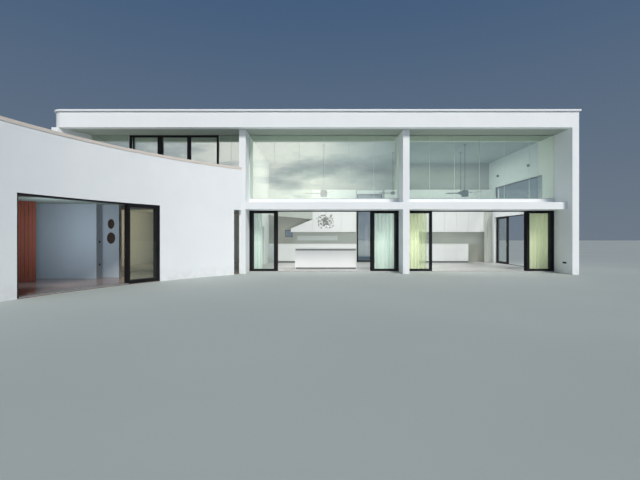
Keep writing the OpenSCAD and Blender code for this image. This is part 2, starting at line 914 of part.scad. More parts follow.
// A run of units with a joint cut between its doors, from x0 to x1
module unit_run(x0, x1, depth, z0, z1) {
    n = floor((x1 - x0) / unit_w);
    w = (x1 - x0) / n;
    difference() {
        block([x0, back_inner - depth, z0], [x1, back_inner, z1]);
        for (i = [1 : n - 1])
            block([x0 + i * w - unit_joint / 2, back_inner - depth - cut, z0 - cut],
                [x0 + i * w + unit_joint / 2, back_inner - depth + unit_joint, z1 + cut]);
    }
}

left_run = [-units_left, back_gap_x - units_gap];
right_run = [back_gap_x + back_gap_w + units_gap, right_inner];

// A flat form against the back wall, drawn in the XZ plane
module wall_form(points) {
    translate([0, back_inner, 0]) rotate([90, 0, 0]) linear_extrude(wall_unit_d)
        polygon(points);
}

module kitchen_wall_units() {
    color(unit_white) {
        unit_run(-wall_units_left, left_run[1], wall_unit_d, wall_unit_z, wall_unit_top);
        unit_run(right_run[0], right_run[1], wall_unit_d, wall_unit_z, wall_unit_top);
        wall_form([
            [-panel_left, wall_unit_z], [-wall_units_left - unit_joint, wall_unit_z],
            [-wall_units_left - unit_joint, panel_high], [-panel_left, panel_low]
        ]);
        wall_form([
            [column_face + wall_t, boxing_z], [-wall_units_left - unit_joint, panel_high + cut],
            [-wall_units_left - unit_joint, wall_unit_top], [column_face + wall_t, wall_unit_top]
        ]);
    }
}

module kitchen_base_units() {
    color(unit_white) {
        unit_run(left_run[0], left_run[1], base_unit_d, floor_z, base_unit_z);
        unit_run(right_run[0], low_units_end, base_unit_d, floor_z, base_unit_z);
    }
}

// Ceiling fans: fixed rods, with a motor and three blades that turn round each

function bay_middle(b) = (living_bays[b][0] + living_bays[b][1]) / 2;
// The middle of each fan's motor, the motor's size and the radius at the blades' tips
fans = concat(
    [for (b = [0, 1])
        [[bay_middle(b), front_y + fan_back, fan_z], fan_hub_d, fan_hub_h, fan_r]],
    [for (i = [0, 1])
        [[rear_fan_x + i * rear_fan_pitch, front_y + rear_fan_back, rear_fan_z],
            rear_hub_d, rear_hub_h, rear_fan_r]]
);

module fan_stems() {
    color(fan_grey) for (f = fans)
        translate(f[0]) {
            translate([0, 0, -f[2] / 2]) cylinder(d = rod_d, h = soffit_z - f[0][2] + f[2] / 2);
            translate([0, 0, soffit_z - f[0][2] - 2 * rod_d])
                cylinder(d1 = 2 * rod_d, d2 = 4 * rod_d, h = 2 * rod_d);
            translate([0, 0, -(f[2] + rod_d) / 2]) cylinder(d = 2 * rod_d, h = rod_d / 2);
        }
}

module fan_rotor(f) {
    hub_d = f[1];
    hub_h = f[2];
    color(fan_grey) translate(f[0]) difference() {
        union() {
            translate([0, 0, seat_gap - hub_h / 2]) cylinder(d = hub_d, h = hub_h);
            for (i = [0 : fan_blades - 1])
                rotate([0, 0, (i + 0.5) * 360 / fan_blades]) translate([hub_d / 2 - cut, 0, 0])
                    rotate([blade_tilt, 0, 0])
                        translate([0, -blade_w / 2, -blade_t / 2])
                            cube([f[3] - hub_d / 2 + cut, blade_w, blade_t]);
        }
        translate([0, 0, -hub_h]) cylinder(r = rod_d / 2 + fan_clear, h = 2 * hub_h);
    }
}

// Hanging light: a drum on a rod, with rings of arms that end in small discs
module hanging_light() {
    disc_t = rod_d / 3;
    inner = light_hub_d / 3;
    color(fan_grey) translate([bay_middle(0) + light_right, front_y + light_back, light_z]) {
        cylinder(d = light_hub_d, h = light_hub_h, center = true);
        cylinder(d = rod_d / 2, h = soffit_z - light_z);
        translate([0, 0, soffit_z - light_z - rod_d]) cylinder(d = 4 * rod_d, h = rod_d);
        for (ring = [-1 : 1], i = [0 : light_arms - 1])
            rotate([0, 90 - ring * light_tilt, (i + abs(ring) / 2) * 360 / light_arms]) {
                translate([0, 0, inner]) cylinder(d = disc_t, h = light_r - inner);
                translate([0, 0, light_r - disc_t]) cylinder(d = 3 * rod_d, h = disc_t);
            }
    }
}

// Drawn curtains hang under the sill beam, behind the door stacks
curtain_front = glass_y + front_tracks * track_pitch + curtain_gap;
curtain_y = [curtain_front, curtain_front + curtain_t];

module curtain(x0, x1) {
    block([x0, curtain_y[0], floor_z + hem_z], [x1, curtain_y[1], door_head - seat_gap]);
}

module curtains_left_bay() {
    b = living_bays[0];
    color(mint_cloth) {
        curtain(b[0] + jamb, b[0] + jamb + curtain_w / 2);
        curtain(b[1] - jamb - curtain_w, b[1] - jamb);
    }
}

module curtains_right_bay() {
    b = living_bays[1];
    color(lime_cloth) {
        curtain(b[0] + jamb, b[0] + jamb + curtain_w);
        curtain(b[1] - jamb - curtain_w, b[1] - jamb);
        translate([right_inner - seat_gap - corner_curtain_w,
            back_inner - wall_unit_d - curtain_gap - curtain_t, floor_z + hem_z])
            cube([corner_curtain_w, curtain_t, sill_top - 2 * curtain_gap - floor_z]);
    }
}

floor_slab();
entry_floor();
roof_deck();
roof_parapet();
roof_coping();
right_wall_front();
right_wall_rear();
right_wall_over_door();
left_fin();
left_wall();
back_wall_left();
back_wall_right();
inner_wall();
upper_floor();
column(1);  // column_left
column(2);  // column_middle
door_beam();
glazing_sill();
curved_wall_right();
curved_wall_left();
curved_wall_lintel();
parapet_cap();
porch_outer_wall();
porch_back_wall();
timber_screen();
entry_roof();
upper_glass();
terrace_door_frame();
front_door_frames();
side_door_frame();
gate_frame();
door_fixed_glass();
window_frames();
window_glass();
kitchen_wall_units();
kitchen_base_units();
kitchen_island();
fan_stems();
fan_rotor(fans[0]);  // fan_rotor_left
fan_rotor(fans[1]);  // fan_rotor_right
fan_rotor(fans[2]);  // fan_rotor_rear_left
fan_rotor(fans[3]);  // fan_rotor_rear_right
hanging_light();
curtains_left_bay();
curtains_right_bay();
front_leaf_node(0, 0, 1);  // leaf_a_second
front_leaf_node(0, 0, 2);  // leaf_a_lead
front_leaf_node(0, 1, 1);  // leaf_b_second
front_leaf_node(0, 1, 2);  // leaf_b_lead
front_leaf_node(1, 0, 1);  // leaf_c_second
front_leaf_node(1, 0, 2);  // leaf_c_lead
front_leaf_node(1, 1, 1);  // leaf_d_second
front_leaf_node(1, 1, 2);  // leaf_d_lead
side_leaf_node(1);  // side_leaf_rear
side_leaf_node(0);  // side_leaf_front
gate_leaf(1);  // gate_leaf_second
gate_leaf(2);  // gate_leaf_third
gate_leaf(3);  // gate_leaf_lead
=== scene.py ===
"""Looks of the beach house: finishes, dressing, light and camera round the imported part."""

import json
import logging
import math
import random
from dataclasses import dataclass, field
from enum import Enum, IntEnum
from functools import cache
from typing import Callable, Iterable, Sequence

import bpy
import bmesh
from mathutils import Matrix, Vector

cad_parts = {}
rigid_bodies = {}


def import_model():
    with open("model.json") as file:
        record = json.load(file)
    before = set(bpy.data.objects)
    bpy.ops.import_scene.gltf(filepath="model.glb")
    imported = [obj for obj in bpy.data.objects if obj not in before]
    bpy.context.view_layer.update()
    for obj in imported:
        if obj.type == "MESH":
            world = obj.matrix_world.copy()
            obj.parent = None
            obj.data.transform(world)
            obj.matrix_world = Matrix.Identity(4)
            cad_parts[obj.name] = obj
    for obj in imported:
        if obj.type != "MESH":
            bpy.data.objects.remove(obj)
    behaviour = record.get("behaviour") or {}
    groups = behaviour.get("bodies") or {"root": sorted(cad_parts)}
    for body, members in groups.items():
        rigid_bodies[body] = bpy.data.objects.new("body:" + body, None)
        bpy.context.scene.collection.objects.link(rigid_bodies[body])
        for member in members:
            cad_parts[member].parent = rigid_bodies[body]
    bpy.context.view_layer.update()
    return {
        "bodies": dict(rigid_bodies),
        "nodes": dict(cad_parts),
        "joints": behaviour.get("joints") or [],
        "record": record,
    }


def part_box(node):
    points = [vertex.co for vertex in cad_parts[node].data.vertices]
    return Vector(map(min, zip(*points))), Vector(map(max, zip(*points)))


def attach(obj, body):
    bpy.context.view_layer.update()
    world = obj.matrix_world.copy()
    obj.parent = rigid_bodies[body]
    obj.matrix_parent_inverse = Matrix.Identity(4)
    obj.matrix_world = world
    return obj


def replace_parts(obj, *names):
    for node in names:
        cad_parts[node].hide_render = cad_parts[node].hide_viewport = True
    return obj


LOG = logging.getLogger("beach_house")
HOUSE = "house"

Colour = tuple[float, float, float]
Point = tuple[float, float, float]
Place = Callable[[float, float, float], Point]


# Finishes


# Where most of the noise lies, between 0 and 1.
MOST = (0.3, 0.7)


class Graph:
    """A node tree of one material or of the world, filled by short calls."""

    def __init__(self, tree: bpy.types.NodeTree) -> None:
        """Empties the tree.

        Args:
            tree: The tree to fill.
        """
        self.tree = tree
        tree.nodes.clear()

    def feed(self, socket: bpy.types.NodeSocket, value: object) -> None:
        """Gives a socket a constant, or links another socket to it.

        Args:
            socket: The input to feed.
            value: A number, a vector, a colour or another node's output.
        """
        if isinstance(value, bpy.types.NodeSocket):
            self.tree.links.new(value, socket)
        elif isinstance(value, tuple) and len(value) == 3 and socket.type == "RGBA":
            socket.default_value = (*value, 1.0)
        else:
            socket.default_value = value

    def add(self, kind: str, inputs: dict[str | int, object] | None = None,
            **settings: object) -> bpy.types.Node:
        """Adds a node.

        Args:
            kind: The node's type, without its leading "ShaderNode".
            inputs: Constants or sockets for its inputs, by name or number.
            settings: Values for the node's own properties.

        Returns:
            The node.
        """
        node = self.tree.nodes.new("ShaderNode" + kind)
        for name, value in settings.items():
            setattr(node, name, value)
        for name, value in (inputs or {}).items():
            self.feed(node.inputs[name], value)
        return node

    def place(self, scale: Point = (1.0, 1.0, 1.0)) -> bpy.types.NodeSocket:
        """Returns the place on the object in metres, stretched by a scale."""
        coords = self.add("TexCoord").outputs["Object"]
        return self.add("Mapping", {"Vector": coords, "Scale": scale}).outputs["Vector"]

    def noise(self, scale: float, detail: float = 3.0, stretch: Point = (1.0, 1.0, 1.0),
              roughness: float = 0.55) -> bpy.types.NodeSocket:
        """Gives noise from 0 to 1.

        Args:
            scale: Its fineness per metre.
            detail: The number of finer layers over it.
            stretch: Factors by which the place is stretched first.
            roughness: How strong the finer layers are.

        Returns:
            The noise.
        """
        return self.add("TexNoise", {"Vector": self.place(stretch), "Scale": scale,
                                     "Detail": detail, "Roughness": roughness}
                        ).outputs["Fac"]

    def span(self, value: bpy.types.NodeSocket, low: float, high: float,
             start: float = 0.0, end: float = 1.0) -> bpy.types.NodeSocket:
        """Moves a value from one span to another, and holds it there.

        Args:
            value: The value.
            low: Where the first span starts.
            high: Where the first span ends.
            start: What low becomes.
            end: What high becomes.

        Returns:
            The moved value.
        """
        return self.add("MapRange", {"Value": value, "From Min": low, "From Max": high,
                                     "To Min": start, "To Max": end}).outputs["Result"]

    def maths(self, operation: str, first: object, second: object) -> bpy.types.NodeSocket:
        """Returns what an operation of two numbers gives."""
        return self.add("Math", {0: first, 1: second}, operation=operation).outputs[0]

    def times(self, first: object, second: object) -> bpy.types.NodeSocket:
        """Returns the product of two numbers."""
        return self.maths("MULTIPLY", first, second)

    def blend(self, share: object, first: object, second: object) -> bpy.types.NodeSocket:
        """Returns a colour between two colours."""
        return self.add("Mix", {0: share, 6: first, 7: second}, data_type="RGBA").outputs[2]

    def mix(self, share: object, first: bpy.types.Node,
            second: bpy.types.Node) -> bpy.types.Node:
        """Returns a shader between two shaders."""
        return self.add("MixShader", {"Fac": share, 1: first.outputs[0],
                                      2: second.outputs[0]})

    def height(self) -> bpy.types.NodeSocket:
        """Returns the height above the ground."""
        return self.add("SeparateXYZ", {"Vector": self.place()}).outputs["Z"]

    def bump(self, height: bpy.types.NodeSocket, depth: float,
             strength: float = 1.0) -> bpy.types.NodeSocket:
        """Returns a normal that is roughened by a height in metres."""
        return self.add("Bump", {"Height": height, "Distance": depth, "Strength": strength}
                        ).outputs["Normal"]

    def principled(self, **inputs: object) -> bpy.types.Node:
        """Returns a Principled shader; an input's name has _ for each blank."""
        named = {name.replace("_", " "): value for name, value in inputs.items()}
        return self.add("BsdfPrincipled", named)

    def show(self, shader: bpy.types.Node) -> None:
        """Sends a shader to the material's surface."""
        out = self.add("OutputMaterial")
        self.tree.links.new(shader.outputs[0], out.inputs["Surface"])


def new_material(name: str) -> tuple[bpy.types.Material, Graph]:
    """Makes an empty node material.

    Args:
        name: The material's name.

    Returns:
        The material and its graph.
    """
    material = bpy.data.materials.new(name)
    material.use_nodes = True
    return material, Graph(material.node_tree)


@dataclass(frozen=True)
class Plaster:
    """Painted render: a little uneven, with fine grain and faint stains near the ground."""

    name: str
    colour: Colour
    shade: Colour
    stain: float = 0.0
    mud: Colour = (0.42, 0.42, 0.38)
    grain: float = 0.0015

    def material(self) -> bpy.types.Material:
        """Makes the finish.

        Returns:
            The material.
        """
        material, g = new_material(self.name)
        clouds = g.span(g.noise(0.5, 4.0), 0.35, 0.65)
        trowel = g.span(g.noise(3.0, 5.0, (1.0, 1.0, 0.5)), *MOST)
        base = g.blend(g.times(clouds, 0.6), self.colour, self.shade)
        base = g.blend(g.times(trowel, 0.25), base, self.shade)
        splash = g.times(g.span(g.height(), 0.0, 0.45, 1.0, 0.0),
                         g.span(g.noise(5.0, 4.0), 0.35, 0.75))
        base = g.blend(g.times(splash, self.stain), base, self.mud)
        rough = g.span(trowel, 0.0, 1.0, 0.78, 0.92)
        grain = g.maths("ADD", g.noise(70.0, 3.0), g.times(trowel, 1.5))
        g.show(g.principled(Base_Color=base, Roughness=rough,
                            Normal=g.bump(grain, depth=self.grain, strength=0.6)))
        return material


@dataclass(frozen=True)
class Tiles:
    """Large stone tiles with thin joints."""

    name: str
    light: Colour
    dark: Colour
    joint: Colour
    size: tuple[float, float] = (1.2, 0.6)
    joint_w: float = 0.004
    rough: tuple[float, float] = (0.35, 0.55)

    def material(self) -> bpy.types.Material:
        """Makes the finish.

        Returns:
            The material.
        """
        material, g = new_material(self.name)
        brick = g.add("TexBrick", {
            "Vector": g.place(), "Scale": 1.0, "Color1": self.light, "Color2": self.dark,
            "Mortar": self.joint, "Mortar Size": self.joint_w, "Mortar Smooth": 0.2,
            "Brick Width": self.size[0], "Row Height": self.size[1]}, offset=0.5)
        clouds = g.span(g.noise(2.2, 6.0), 0.35, 0.7)
        base = g.blend(g.times(clouds, 0.35), brick.outputs["Color"], self.dark)
        rough = g.span(g.noise(9.0, 4.0), *MOST, *self.rough)
        low = g.times(brick.outputs["Fac"], -1.0)
        g.show(g.principled(Base_Color=base, Roughness=rough,
                            Normal=g.bump(low, depth=0.002, strength=0.8)))
        return material


@dataclass(frozen=True)
class Stone:
    """Smooth stone or composite with fine speckle."""

    name: str
    colour: Colour
    speck: Colour
    rough: float = 0.4
    fineness: float = 220.0

    def material(self) -> bpy.types.Material:
        """Makes the finish.

        Returns:
            The material.
        """
        material, g = new_material(self.name)
        specks = g.span(g.noise(self.fineness, 2.0), 0.56, 0.66)
        clouds = g.span(g.noise(1.7, 5.0), *MOST)
        base = g.blend(g.times(specks, 0.5), self.colour, self.speck)
        base = g.blend(g.times(clouds, 0.25), base, self.speck)
        rough = g.span(g.noise(14.0, 3.0), *MOST, self.rough, self.rough + 0.15)
        g.show(g.principled(Base_Color=base, Roughness=rough,
                            Normal=g.bump(g.noise(120.0, 3.0), depth=0.0006, strength=0.5)))
        return material


@dataclass(frozen=True)
class Coated:
    """Powder-coated or lacquered metal or board."""

    name: str
    colour: Colour
    rough: float = 0.4
    speckle: float = 0.15
    coat: float = 0.0
    specular: float = 0.5

    def material(self) -> bpy.types.Material:
        """Makes the finish.

        Returns:
            The material.
        """
        material, g = new_material(self.name)
        dust = g.span(g.noise(1.3, 5.0), 0.3, 0.75)
        lighter = tuple(c + (1.0 - c) * 0.12 for c in self.colour)
        base = g.blend(g.times(dust, self.speckle), self.colour, lighter)
        rough = g.span(g.noise(4.0, 4.0), *MOST, self.rough, self.rough + 0.12)
        g.show(g.principled(Base_Color=base, Roughness=rough,
                            Coat_Weight=self.coat, Coat_Roughness=0.1,
                            Specular_IOR_Level=self.specular,
                            Normal=g.bump(g.noise(260.0, 2.0), depth=0.0003, strength=0.4)))
        return material


@dataclass(frozen=True)
class Brushed:
    """Brushed metal, grained along one direction."""

    name: str
    colour: Colour
    rough: float = 0.3
    along: Point = (1.0, 1.0, 0.03)

    def material(self) -> bpy.types.Material:
        """Makes the finish.

        Returns:
            The material.
        """
        material, g = new_material(self.name)
        grain = g.noise(300.0, 3.0, self.along)
        dark = tuple(c * 0.75 for c in self.colour)
        base = g.blend(g.span(grain, *MOST), dark, self.colour)
        rough = g.span(grain, *MOST, self.rough, self.rough + 0.15)
        g.show(g.principled(Base_Color=base, Roughness=rough, Metallic=0.9,
                            Normal=g.bump(grain, depth=0.0002, strength=0.3)))
        return material


@dataclass(frozen=True)
class Timber:
    """Oiled boards with the grain upright."""

    name: str
    light: Colour
    dark: Colour

    def material(self) -> bpy.types.Material:
        """Makes the finish.

        Returns:
            The material.
        """
        material, g = new_material(self.name)
        fibre = g.noise(60.0, 6.0, (1.0, 1.0, 0.05), 0.65)
        board = g.span(g.noise(6.0, 1.0, (1.0, 1.0, 0.02)), 0.35, 0.65)
        base = g.blend(g.span(fibre, 0.3, 0.72), self.dark, self.light)
        base = g.blend(g.times(board, 0.5), base, self.dark)
        rough = g.span(fibre, *MOST, 0.45, 0.7)
        g.show(g.principled(Base_Color=base, Roughness=rough,
                            Normal=g.bump(fibre, depth=0.0012, strength=0.7)))
        return material


@dataclass(frozen=True)
class Cloth:
    """Light curtain cloth that lets some light through, and may be sheer on one side."""

    name: str
    colour: Colour
    shade: Colour
    through: float = 0.3
    sheer: float = 0.0
    sheer_from: float = 0.0
    sheer_edge: float = 0.05
    sheer_tint: Colour = (0.94, 0.96, 0.70)

    def material(self) -> bpy.types.Material:
        """Makes the finish.

        Returns:
            The material.
        """
        material, g = new_material(self.name)
        slub = g.span(g.noise(90.0, 3.0, (1.0, 1.0, 0.04)), *MOST)
        warp = g.noise(700.0, 1.0, (1.0, 1.0, 0.3))
        base = g.blend(g.times(slub, 0.16), self.colour, self.shade)
        cloth = g.principled(Base_Color=base, Roughness=0.9, Sheen_Weight=0.3,
                             Sheen_Roughness=0.5,
                             Normal=g.bump(warp, depth=0.0004, strength=0.6))
        glow = g.add("BsdfTranslucent", {"Color": base})
        drape = g.mix(self.through, cloth, glow)
        if self.sheer:
            across = g.add("SeparateXYZ", {"Vector": g.place()}).outputs["X"]
            share = g.span(across, self.sheer_from, self.sheer_from + self.sheer_edge,
                           0.0, self.sheer)
            drape = g.mix(share, drape, g.add("BsdfTransparent", {"Color": self.sheer_tint}))
        g.show(drape)
        return material


@dataclass(frozen=True)
class Glazing:
    """Clear glass with a tint: light passes, and the sky mirrors in it at a slant."""

    name: str
    tint: Colour
    mirror: float = 0.05

    def material(self) -> bpy.types.Material:
        """Makes the finish.

        Returns:
            The material.
        """
        material, g = new_material(self.name)
        haze = g.span(g.noise(1.1, 3.0), *MOST, 0.0, 0.012)
        clear = g.add("BsdfTransparent", {"Color": self.tint})
        gloss = g.add("BsdfGlossy", {"Color": (1.0, 1.0, 1.0), "Roughness": haze})
        slant = g.add("LayerWeight", {"Blend": 0.5}).outputs["Facing"]
        share = g.span(g.maths("POWER", slant, 5.0), 0.0, 1.0, self.mirror, 1.0)
        g.show(g.mix(share, clear, gloss))
        return material


class Finish(Enum):
    """The finishes of the house, by the part that they cover."""

    WALL = Plaster("outer_render", (0.86, 0.88, 0.90), (0.80, 0.83, 0.86), stain=0.35)
    ROOM = Plaster("room_paint", (0.82, 0.83, 0.82), (0.77, 0.79, 0.78))
    # Dark grey-green paint of painted shade for the white back wall inside, which lies in
    # shade.
    REAR_SHADE = Plaster("rear_painted_shade", (0.40, 0.41, 0.37), (0.36, 0.38, 0.34))
    # Blue-grey paint of painted shade for the porch's white back wall, which lies in shade.
    ENTRY_SHADE = Plaster("entry_painted_shade", (0.46, 0.50, 0.54), (0.42, 0.46, 0.50))
    # Dark grey-green paint of painted shade for the soffits, which lie in shade.
    SOFFIT_SHADE = Plaster("soffit_painted_shade", (0.38, 0.43, 0.39), (0.34, 0.39, 0.35))
    # Grey-green paint of painted shade for the boxing over the kitchen units, which lies in
    # shadow.
    BOXING_SHADE = Plaster("boxing_painted_shade", (0.58, 0.62, 0.57), (0.54, 0.58, 0.53))
    FLOOR = Tiles("floor_tiles", (0.56, 0.56, 0.54), (0.47, 0.47, 0.46), (0.36, 0.36, 0.34))
    PORCH = Tiles("porch_tiles", (0.30, 0.22, 0.19), (0.24, 0.18, 0.16), (0.15, 0.12, 0.11),
                  (0.6, 0.6), rough=(0.12, 0.25))
    DECK = Tiles("terrace_tiles", (0.62, 0.61, 0.58), (0.55, 0.54, 0.52), (0.40, 0.40, 0.38),
                 (0.6, 0.6), rough=(0.55, 0.75))
    CAP = Stone("cap_stone", (0.74, 0.66, 0.60), (0.60, 0.53, 0.48), 0.6)
    COPING = Coated("coping_sheet", (0.84, 0.86, 0.88), 0.35, speckle=0.1)
    MEMBRANE = Stone("roof_sheet", (0.60, 0.61, 0.61), (0.50, 0.51, 0.52), 0.75, 90.0)
    FRAME = Coated("black_frame", (0.008, 0.008, 0.010), 0.38, speckle=0.05,
                   specular=0.22)
    RUBBER = Coated("rubber", (0.02, 0.02, 0.02), 0.7, speckle=0.05)
    STEEL = Brushed("steel", (0.62, 0.63, 0.64))
    PANE = Glazing("clear_pane", (0.96, 0.98, 0.97), 0.04)
    HIGH_PANE = Glazing("high_pane", (0.92, 0.99, 0.92), 0.31)
    SEAL = Coated("pane_seal", (0.62, 0.70, 0.68), 0.4)
    # Pale green-white finish of painted highlight, for glass edges that catch the light.
    EDGE_HIGHLIGHT = Coated("pane_edge_highlight", (0.82, 0.88, 0.84), 0.4)
    SCREEN = Timber("screen_boards", (0.31, 0.085, 0.05), (0.18, 0.05, 0.03))
    SCREEN_CORE = Coated("screen_core", (0.05, 0.03, 0.025), 0.7)
    UNIT = Coated("unit_lacquer", (0.84, 0.85, 0.85), 0.3, speckle=0.05, coat=0.3)
    # Near-black finish of painted shade for recessed plinths and the island's shadow gap.
    PLINTH_SHADE = Coated("plinth_painted_shade", (0.16, 0.17, 0.17), 0.5)
    SPLASH = Coated("splash_glass", (0.42, 0.45, 0.42), 0.12, coat=0.6)
    STRIP = Coated("splash_strip", (0.56, 0.60, 0.58), 0.12, coat=0.6)
    WORKTOP = Stone("worktop", (0.86, 0.86, 0.84), (0.72, 0.72, 0.70), 0.25)
    FAN = Brushed("fan_metal", (0.20, 0.22, 0.22), 0.35, (1.0, 1.0, 1.0))
    SILL = Brushed("sill_metal", (0.80, 0.81, 0.80), 0.45)
    LIGHT = Coated("light_metal", (0.26, 0.27, 0.26), 0.35, speckle=0.05)
    OPAL = Coated("opal_cover", (0.88, 0.88, 0.85), 0.5, speckle=0.02)
    MINT = Cloth("mint_cloth", (0.82, 0.915, 0.855), (0.74, 0.86, 0.79))
    LIME = Cloth("lime_cloth", (0.80, 0.83, 0.555), (0.72, 0.75, 0.49))
    LIME_SHEER = Cloth("lime_sheer", (0.80, 0.83, 0.555), (0.72, 0.75, 0.49),
                       sheer=0.62, sheer_from=4.22)
    GREY_CLOTH = Cloth("grey_cloth", (0.70, 0.73, 0.70), (0.58, 0.61, 0.59))
    CARVED = Timber("carved_wood", (0.10, 0.06, 0.045), (0.04, 0.025, 0.02))


@cache
def material_of(finish: Finish) -> bpy.types.Material:
    """Returns a finish's material, made once."""
    return finish.value.material()


def paint(frame: dict, finish: Finish, *nodes: str) -> None:
    """Gives CAD nodes a finish.

    Args:
        finish: The finish.
        nodes: The nodes' names.
    """
    for name in nodes:
        mesh = frame["nodes"][name].data
        for i in range(max(1, len(mesh.materials))):
            if i < len(mesh.materials):
                mesh.materials[i] = material_of(finish)
            else:
                mesh.materials.append(material_of(finish))


# Meshes


# Widths by which the edges of pieces are rounded.
FINE, SOFT, BROAD = 0.001, 0.0015, 0.002
BEVEL_STEPS = 2
SHARP_EDGE = math.radians(40)
POINT_RADIUS = 1e-6


def add_object(name: str, data: bpy.types.ID) -> bpy.types.Object:
    """Makes an object and puts it in the scene.

    Args:
        name: The object's name.
        data: Its mesh, lamp or camera.

    Returns:
        The object.
    """
    made = bpy.data.objects.new(name, data)
    bpy.context.scene.collection.objects.link(made)
    return made


def turn_to(way: Vector) -> Matrix:
    """Returns the turn that brings the Z axis to a direction."""
    return Vector((0, 0, 1)).rotation_difference(way).to_matrix().to_4x4()


def as_is(x: float, y: float, z: float) -> Point:
    """Returns a point that is in the row frame already."""
    return x, y, z


@dataclass
class Shape:
    """Vertices and faces gathered form by form, in the row frame, in metres."""

    points: list[Point] = field(default_factory=list)
    faces: list[tuple[int, ...]] = field(default_factory=list)
    slots: list[int] = field(default_factory=list)
    rounds: list[bool] = field(default_factory=list)

    def add(self, points: Sequence[Point], faces: Iterable[Sequence[int]], slot: int = 0,
            smooth: bool = False) -> None:
        """Adds a form.

        Args:
            points: Its vertices.
            faces: Its faces, as places in points.
            slot: Which of the piece's finishes it has.
            smooth: Whether its faces are shaded as a curve.
        """
        start = len(self.points)
        self.points.extend(tuple(p) for p in points)
        for face in faces:
            self.faces.append(tuple(start + i for i in face))
            self.slots.append(int(slot))
            self.rounds.append(smooth)

    def bar(self, low: Point, high: Point, place: Place = as_is, steps: int = 1,
            slot: int = 0) -> None:
        """Adds a bar between two corners, bent to a place function along its first axis.

        Args:
            low: The lowest corner.
            high: The highest corner.
            place: Moves a point from the bar's own axes to the row frame.
            steps: The number of lengths that the bar is cut into.
            slot: Which of the piece's finishes it has.
        """
        points: list[Point] = []
        for i in range(steps + 1):
            x = low[0] + (high[0] - low[0]) * i / steps
            points += [place(x, low[1], low[2]), place(x, high[1], low[2]),
                       place(x, high[1], high[2]), place(x, low[1], high[2])]
        faces: list[tuple[int, ...]] = [(0, 1, 2, 3)]
        for i in range(steps):
            a, b = 4 * i, 4 * i + 4
            faces += [(a + j, a + (j + 1) % 4, b + (j + 1) % 4, b + j) for j in range(4)]
        end = 4 * steps
        faces.append((end + 3, end + 2, end + 1, end))
        self.add(points, faces, slot)

    def ring(self, low: Point, high: Point, wide: Sequence[float], place: Place = as_is,
             steps: int = 1, slot: int = 0) -> None:
        """Adds four bars round an opening, two upright and two between them.

        Args:
            low: The ring's lowest outer corner.
            high: The ring's highest outer corner.
            wide: Widths of its left, right, lower and upper bars.
            place: Moves a point from the ring's own axes to the row frame.
            steps: The number of lengths that a level bar is cut into.
            slot: Which of the piece's finishes it has.
        """
        (x0, y0, z0), (x1, y1, z1) = low, high
        left, right = x0 + wide[0], x1 - wide[1]
        self.bar(low, (left, y1, z1), place, 1, slot)
        self.bar((right, y0, z0), high, place, 1, slot)
        self.bar((left, y0, z0), (right, y1, z0 + wide[2]), place, steps, slot)
        self.bar((left, y0, z1 - wide[3]), (right, y1, z1), place, steps, slot)

    def lathe(self, profile: Sequence[tuple[float, float]], sides: int,
              matrix: Matrix | None = None, slot: int = 0) -> None:
        """Adds a turned form round its own Z axis.

        Args:
            profile: Radius and height of each ring, from the bottom up, ends at radius 0.
            sides: The number of sides.
            matrix: Moves it to its place.
            slot: Which of the piece's finishes it has.
        """
        points: list[Vector] = []
        rings: list[list[int]] = []
        for radius, z in profile:
            count = sides if radius > POINT_RADIUS else 1
            rings.append([len(points) + i for i in range(count)])
            points += [Vector((radius * math.cos(2 * math.pi * i / sides),
                               radius * math.sin(2 * math.pi * i / sides), z))
                       for i in range(count)]
        faces: list[tuple[int, ...]] = []
        for low, high in zip(rings, rings[1:]):
            for i in range(sides):
                j = (i + 1) % sides
                face = (low[i % len(low)], low[j % len(low)], high[j % len(high)],
                        high[i % len(high)])
                faces.append(tuple(dict.fromkeys(face)))
        turned = [tuple((matrix or Matrix()) @ p) for p in points]
        self.add(turned, [f for f in faces if len(f) > 2], slot, True)

    def rod(self, start: Point, end: Point, radius: float, sides: int = 10,
            slot: int = 0) -> None:
        """Adds a round rod between two points.

        Args:
            start: The middle of its first end.
            end: The middle of its second end.
            radius: Its radius.
            sides: The number of its sides.
            slot: Which of the piece's finishes it has.
        """
        line = Vector(end) - Vector(start)
        self.lathe([(0, 0), (radius, 0), (radius, line.length), (0, line.length)], sides,
                   Matrix.Translation(start) @ turn_to(line), slot)

    def prism(self, outline: Sequence[tuple[float, float]], ends: tuple[float, float],
              place: Place = as_is, slot: int = 0) -> None:
        """Adds a prism over a closed outline.

        Args:
            outline: Its corners on the first two axes.
            ends: Where it starts and ends on the third axis.
            place: Moves a point from the prism's own axes to the row frame.
            slot: Which of the piece's finishes it has.
        """
        n = len(outline)
        faces = [tuple(range(n))[::-1], tuple(range(n, 2 * n))]
        faces += [(i, (i + 1) % n, n + (i + 1) % n, n + i) for i in range(n)]
        self.add([place(x, y, z) for z in ends for x, y in outline], faces, slot)

    def surface(self, at: Callable[[float, float], Point], across: int, up: int,
                slot: int = 0) -> None:
        """Adds a smooth sheet.

        Args:
            at: Gives its point at two shares from 0 to 1, across and up.
            across: The number of its faces across.
            up: The number of its faces upwards.
            slot: Which of the piece's finishes it has.
        """
        points = [at(i / across, j / up) for j in range(up + 1) for i in range(across + 1)]
        row = across + 1
        faces = [(j * row + i, j * row + i + 1, (j + 1) * row + i + 1, (j + 1) * row + i)
                 for j in range(up) for i in range(across)]
        self.add(points, faces, slot, True)

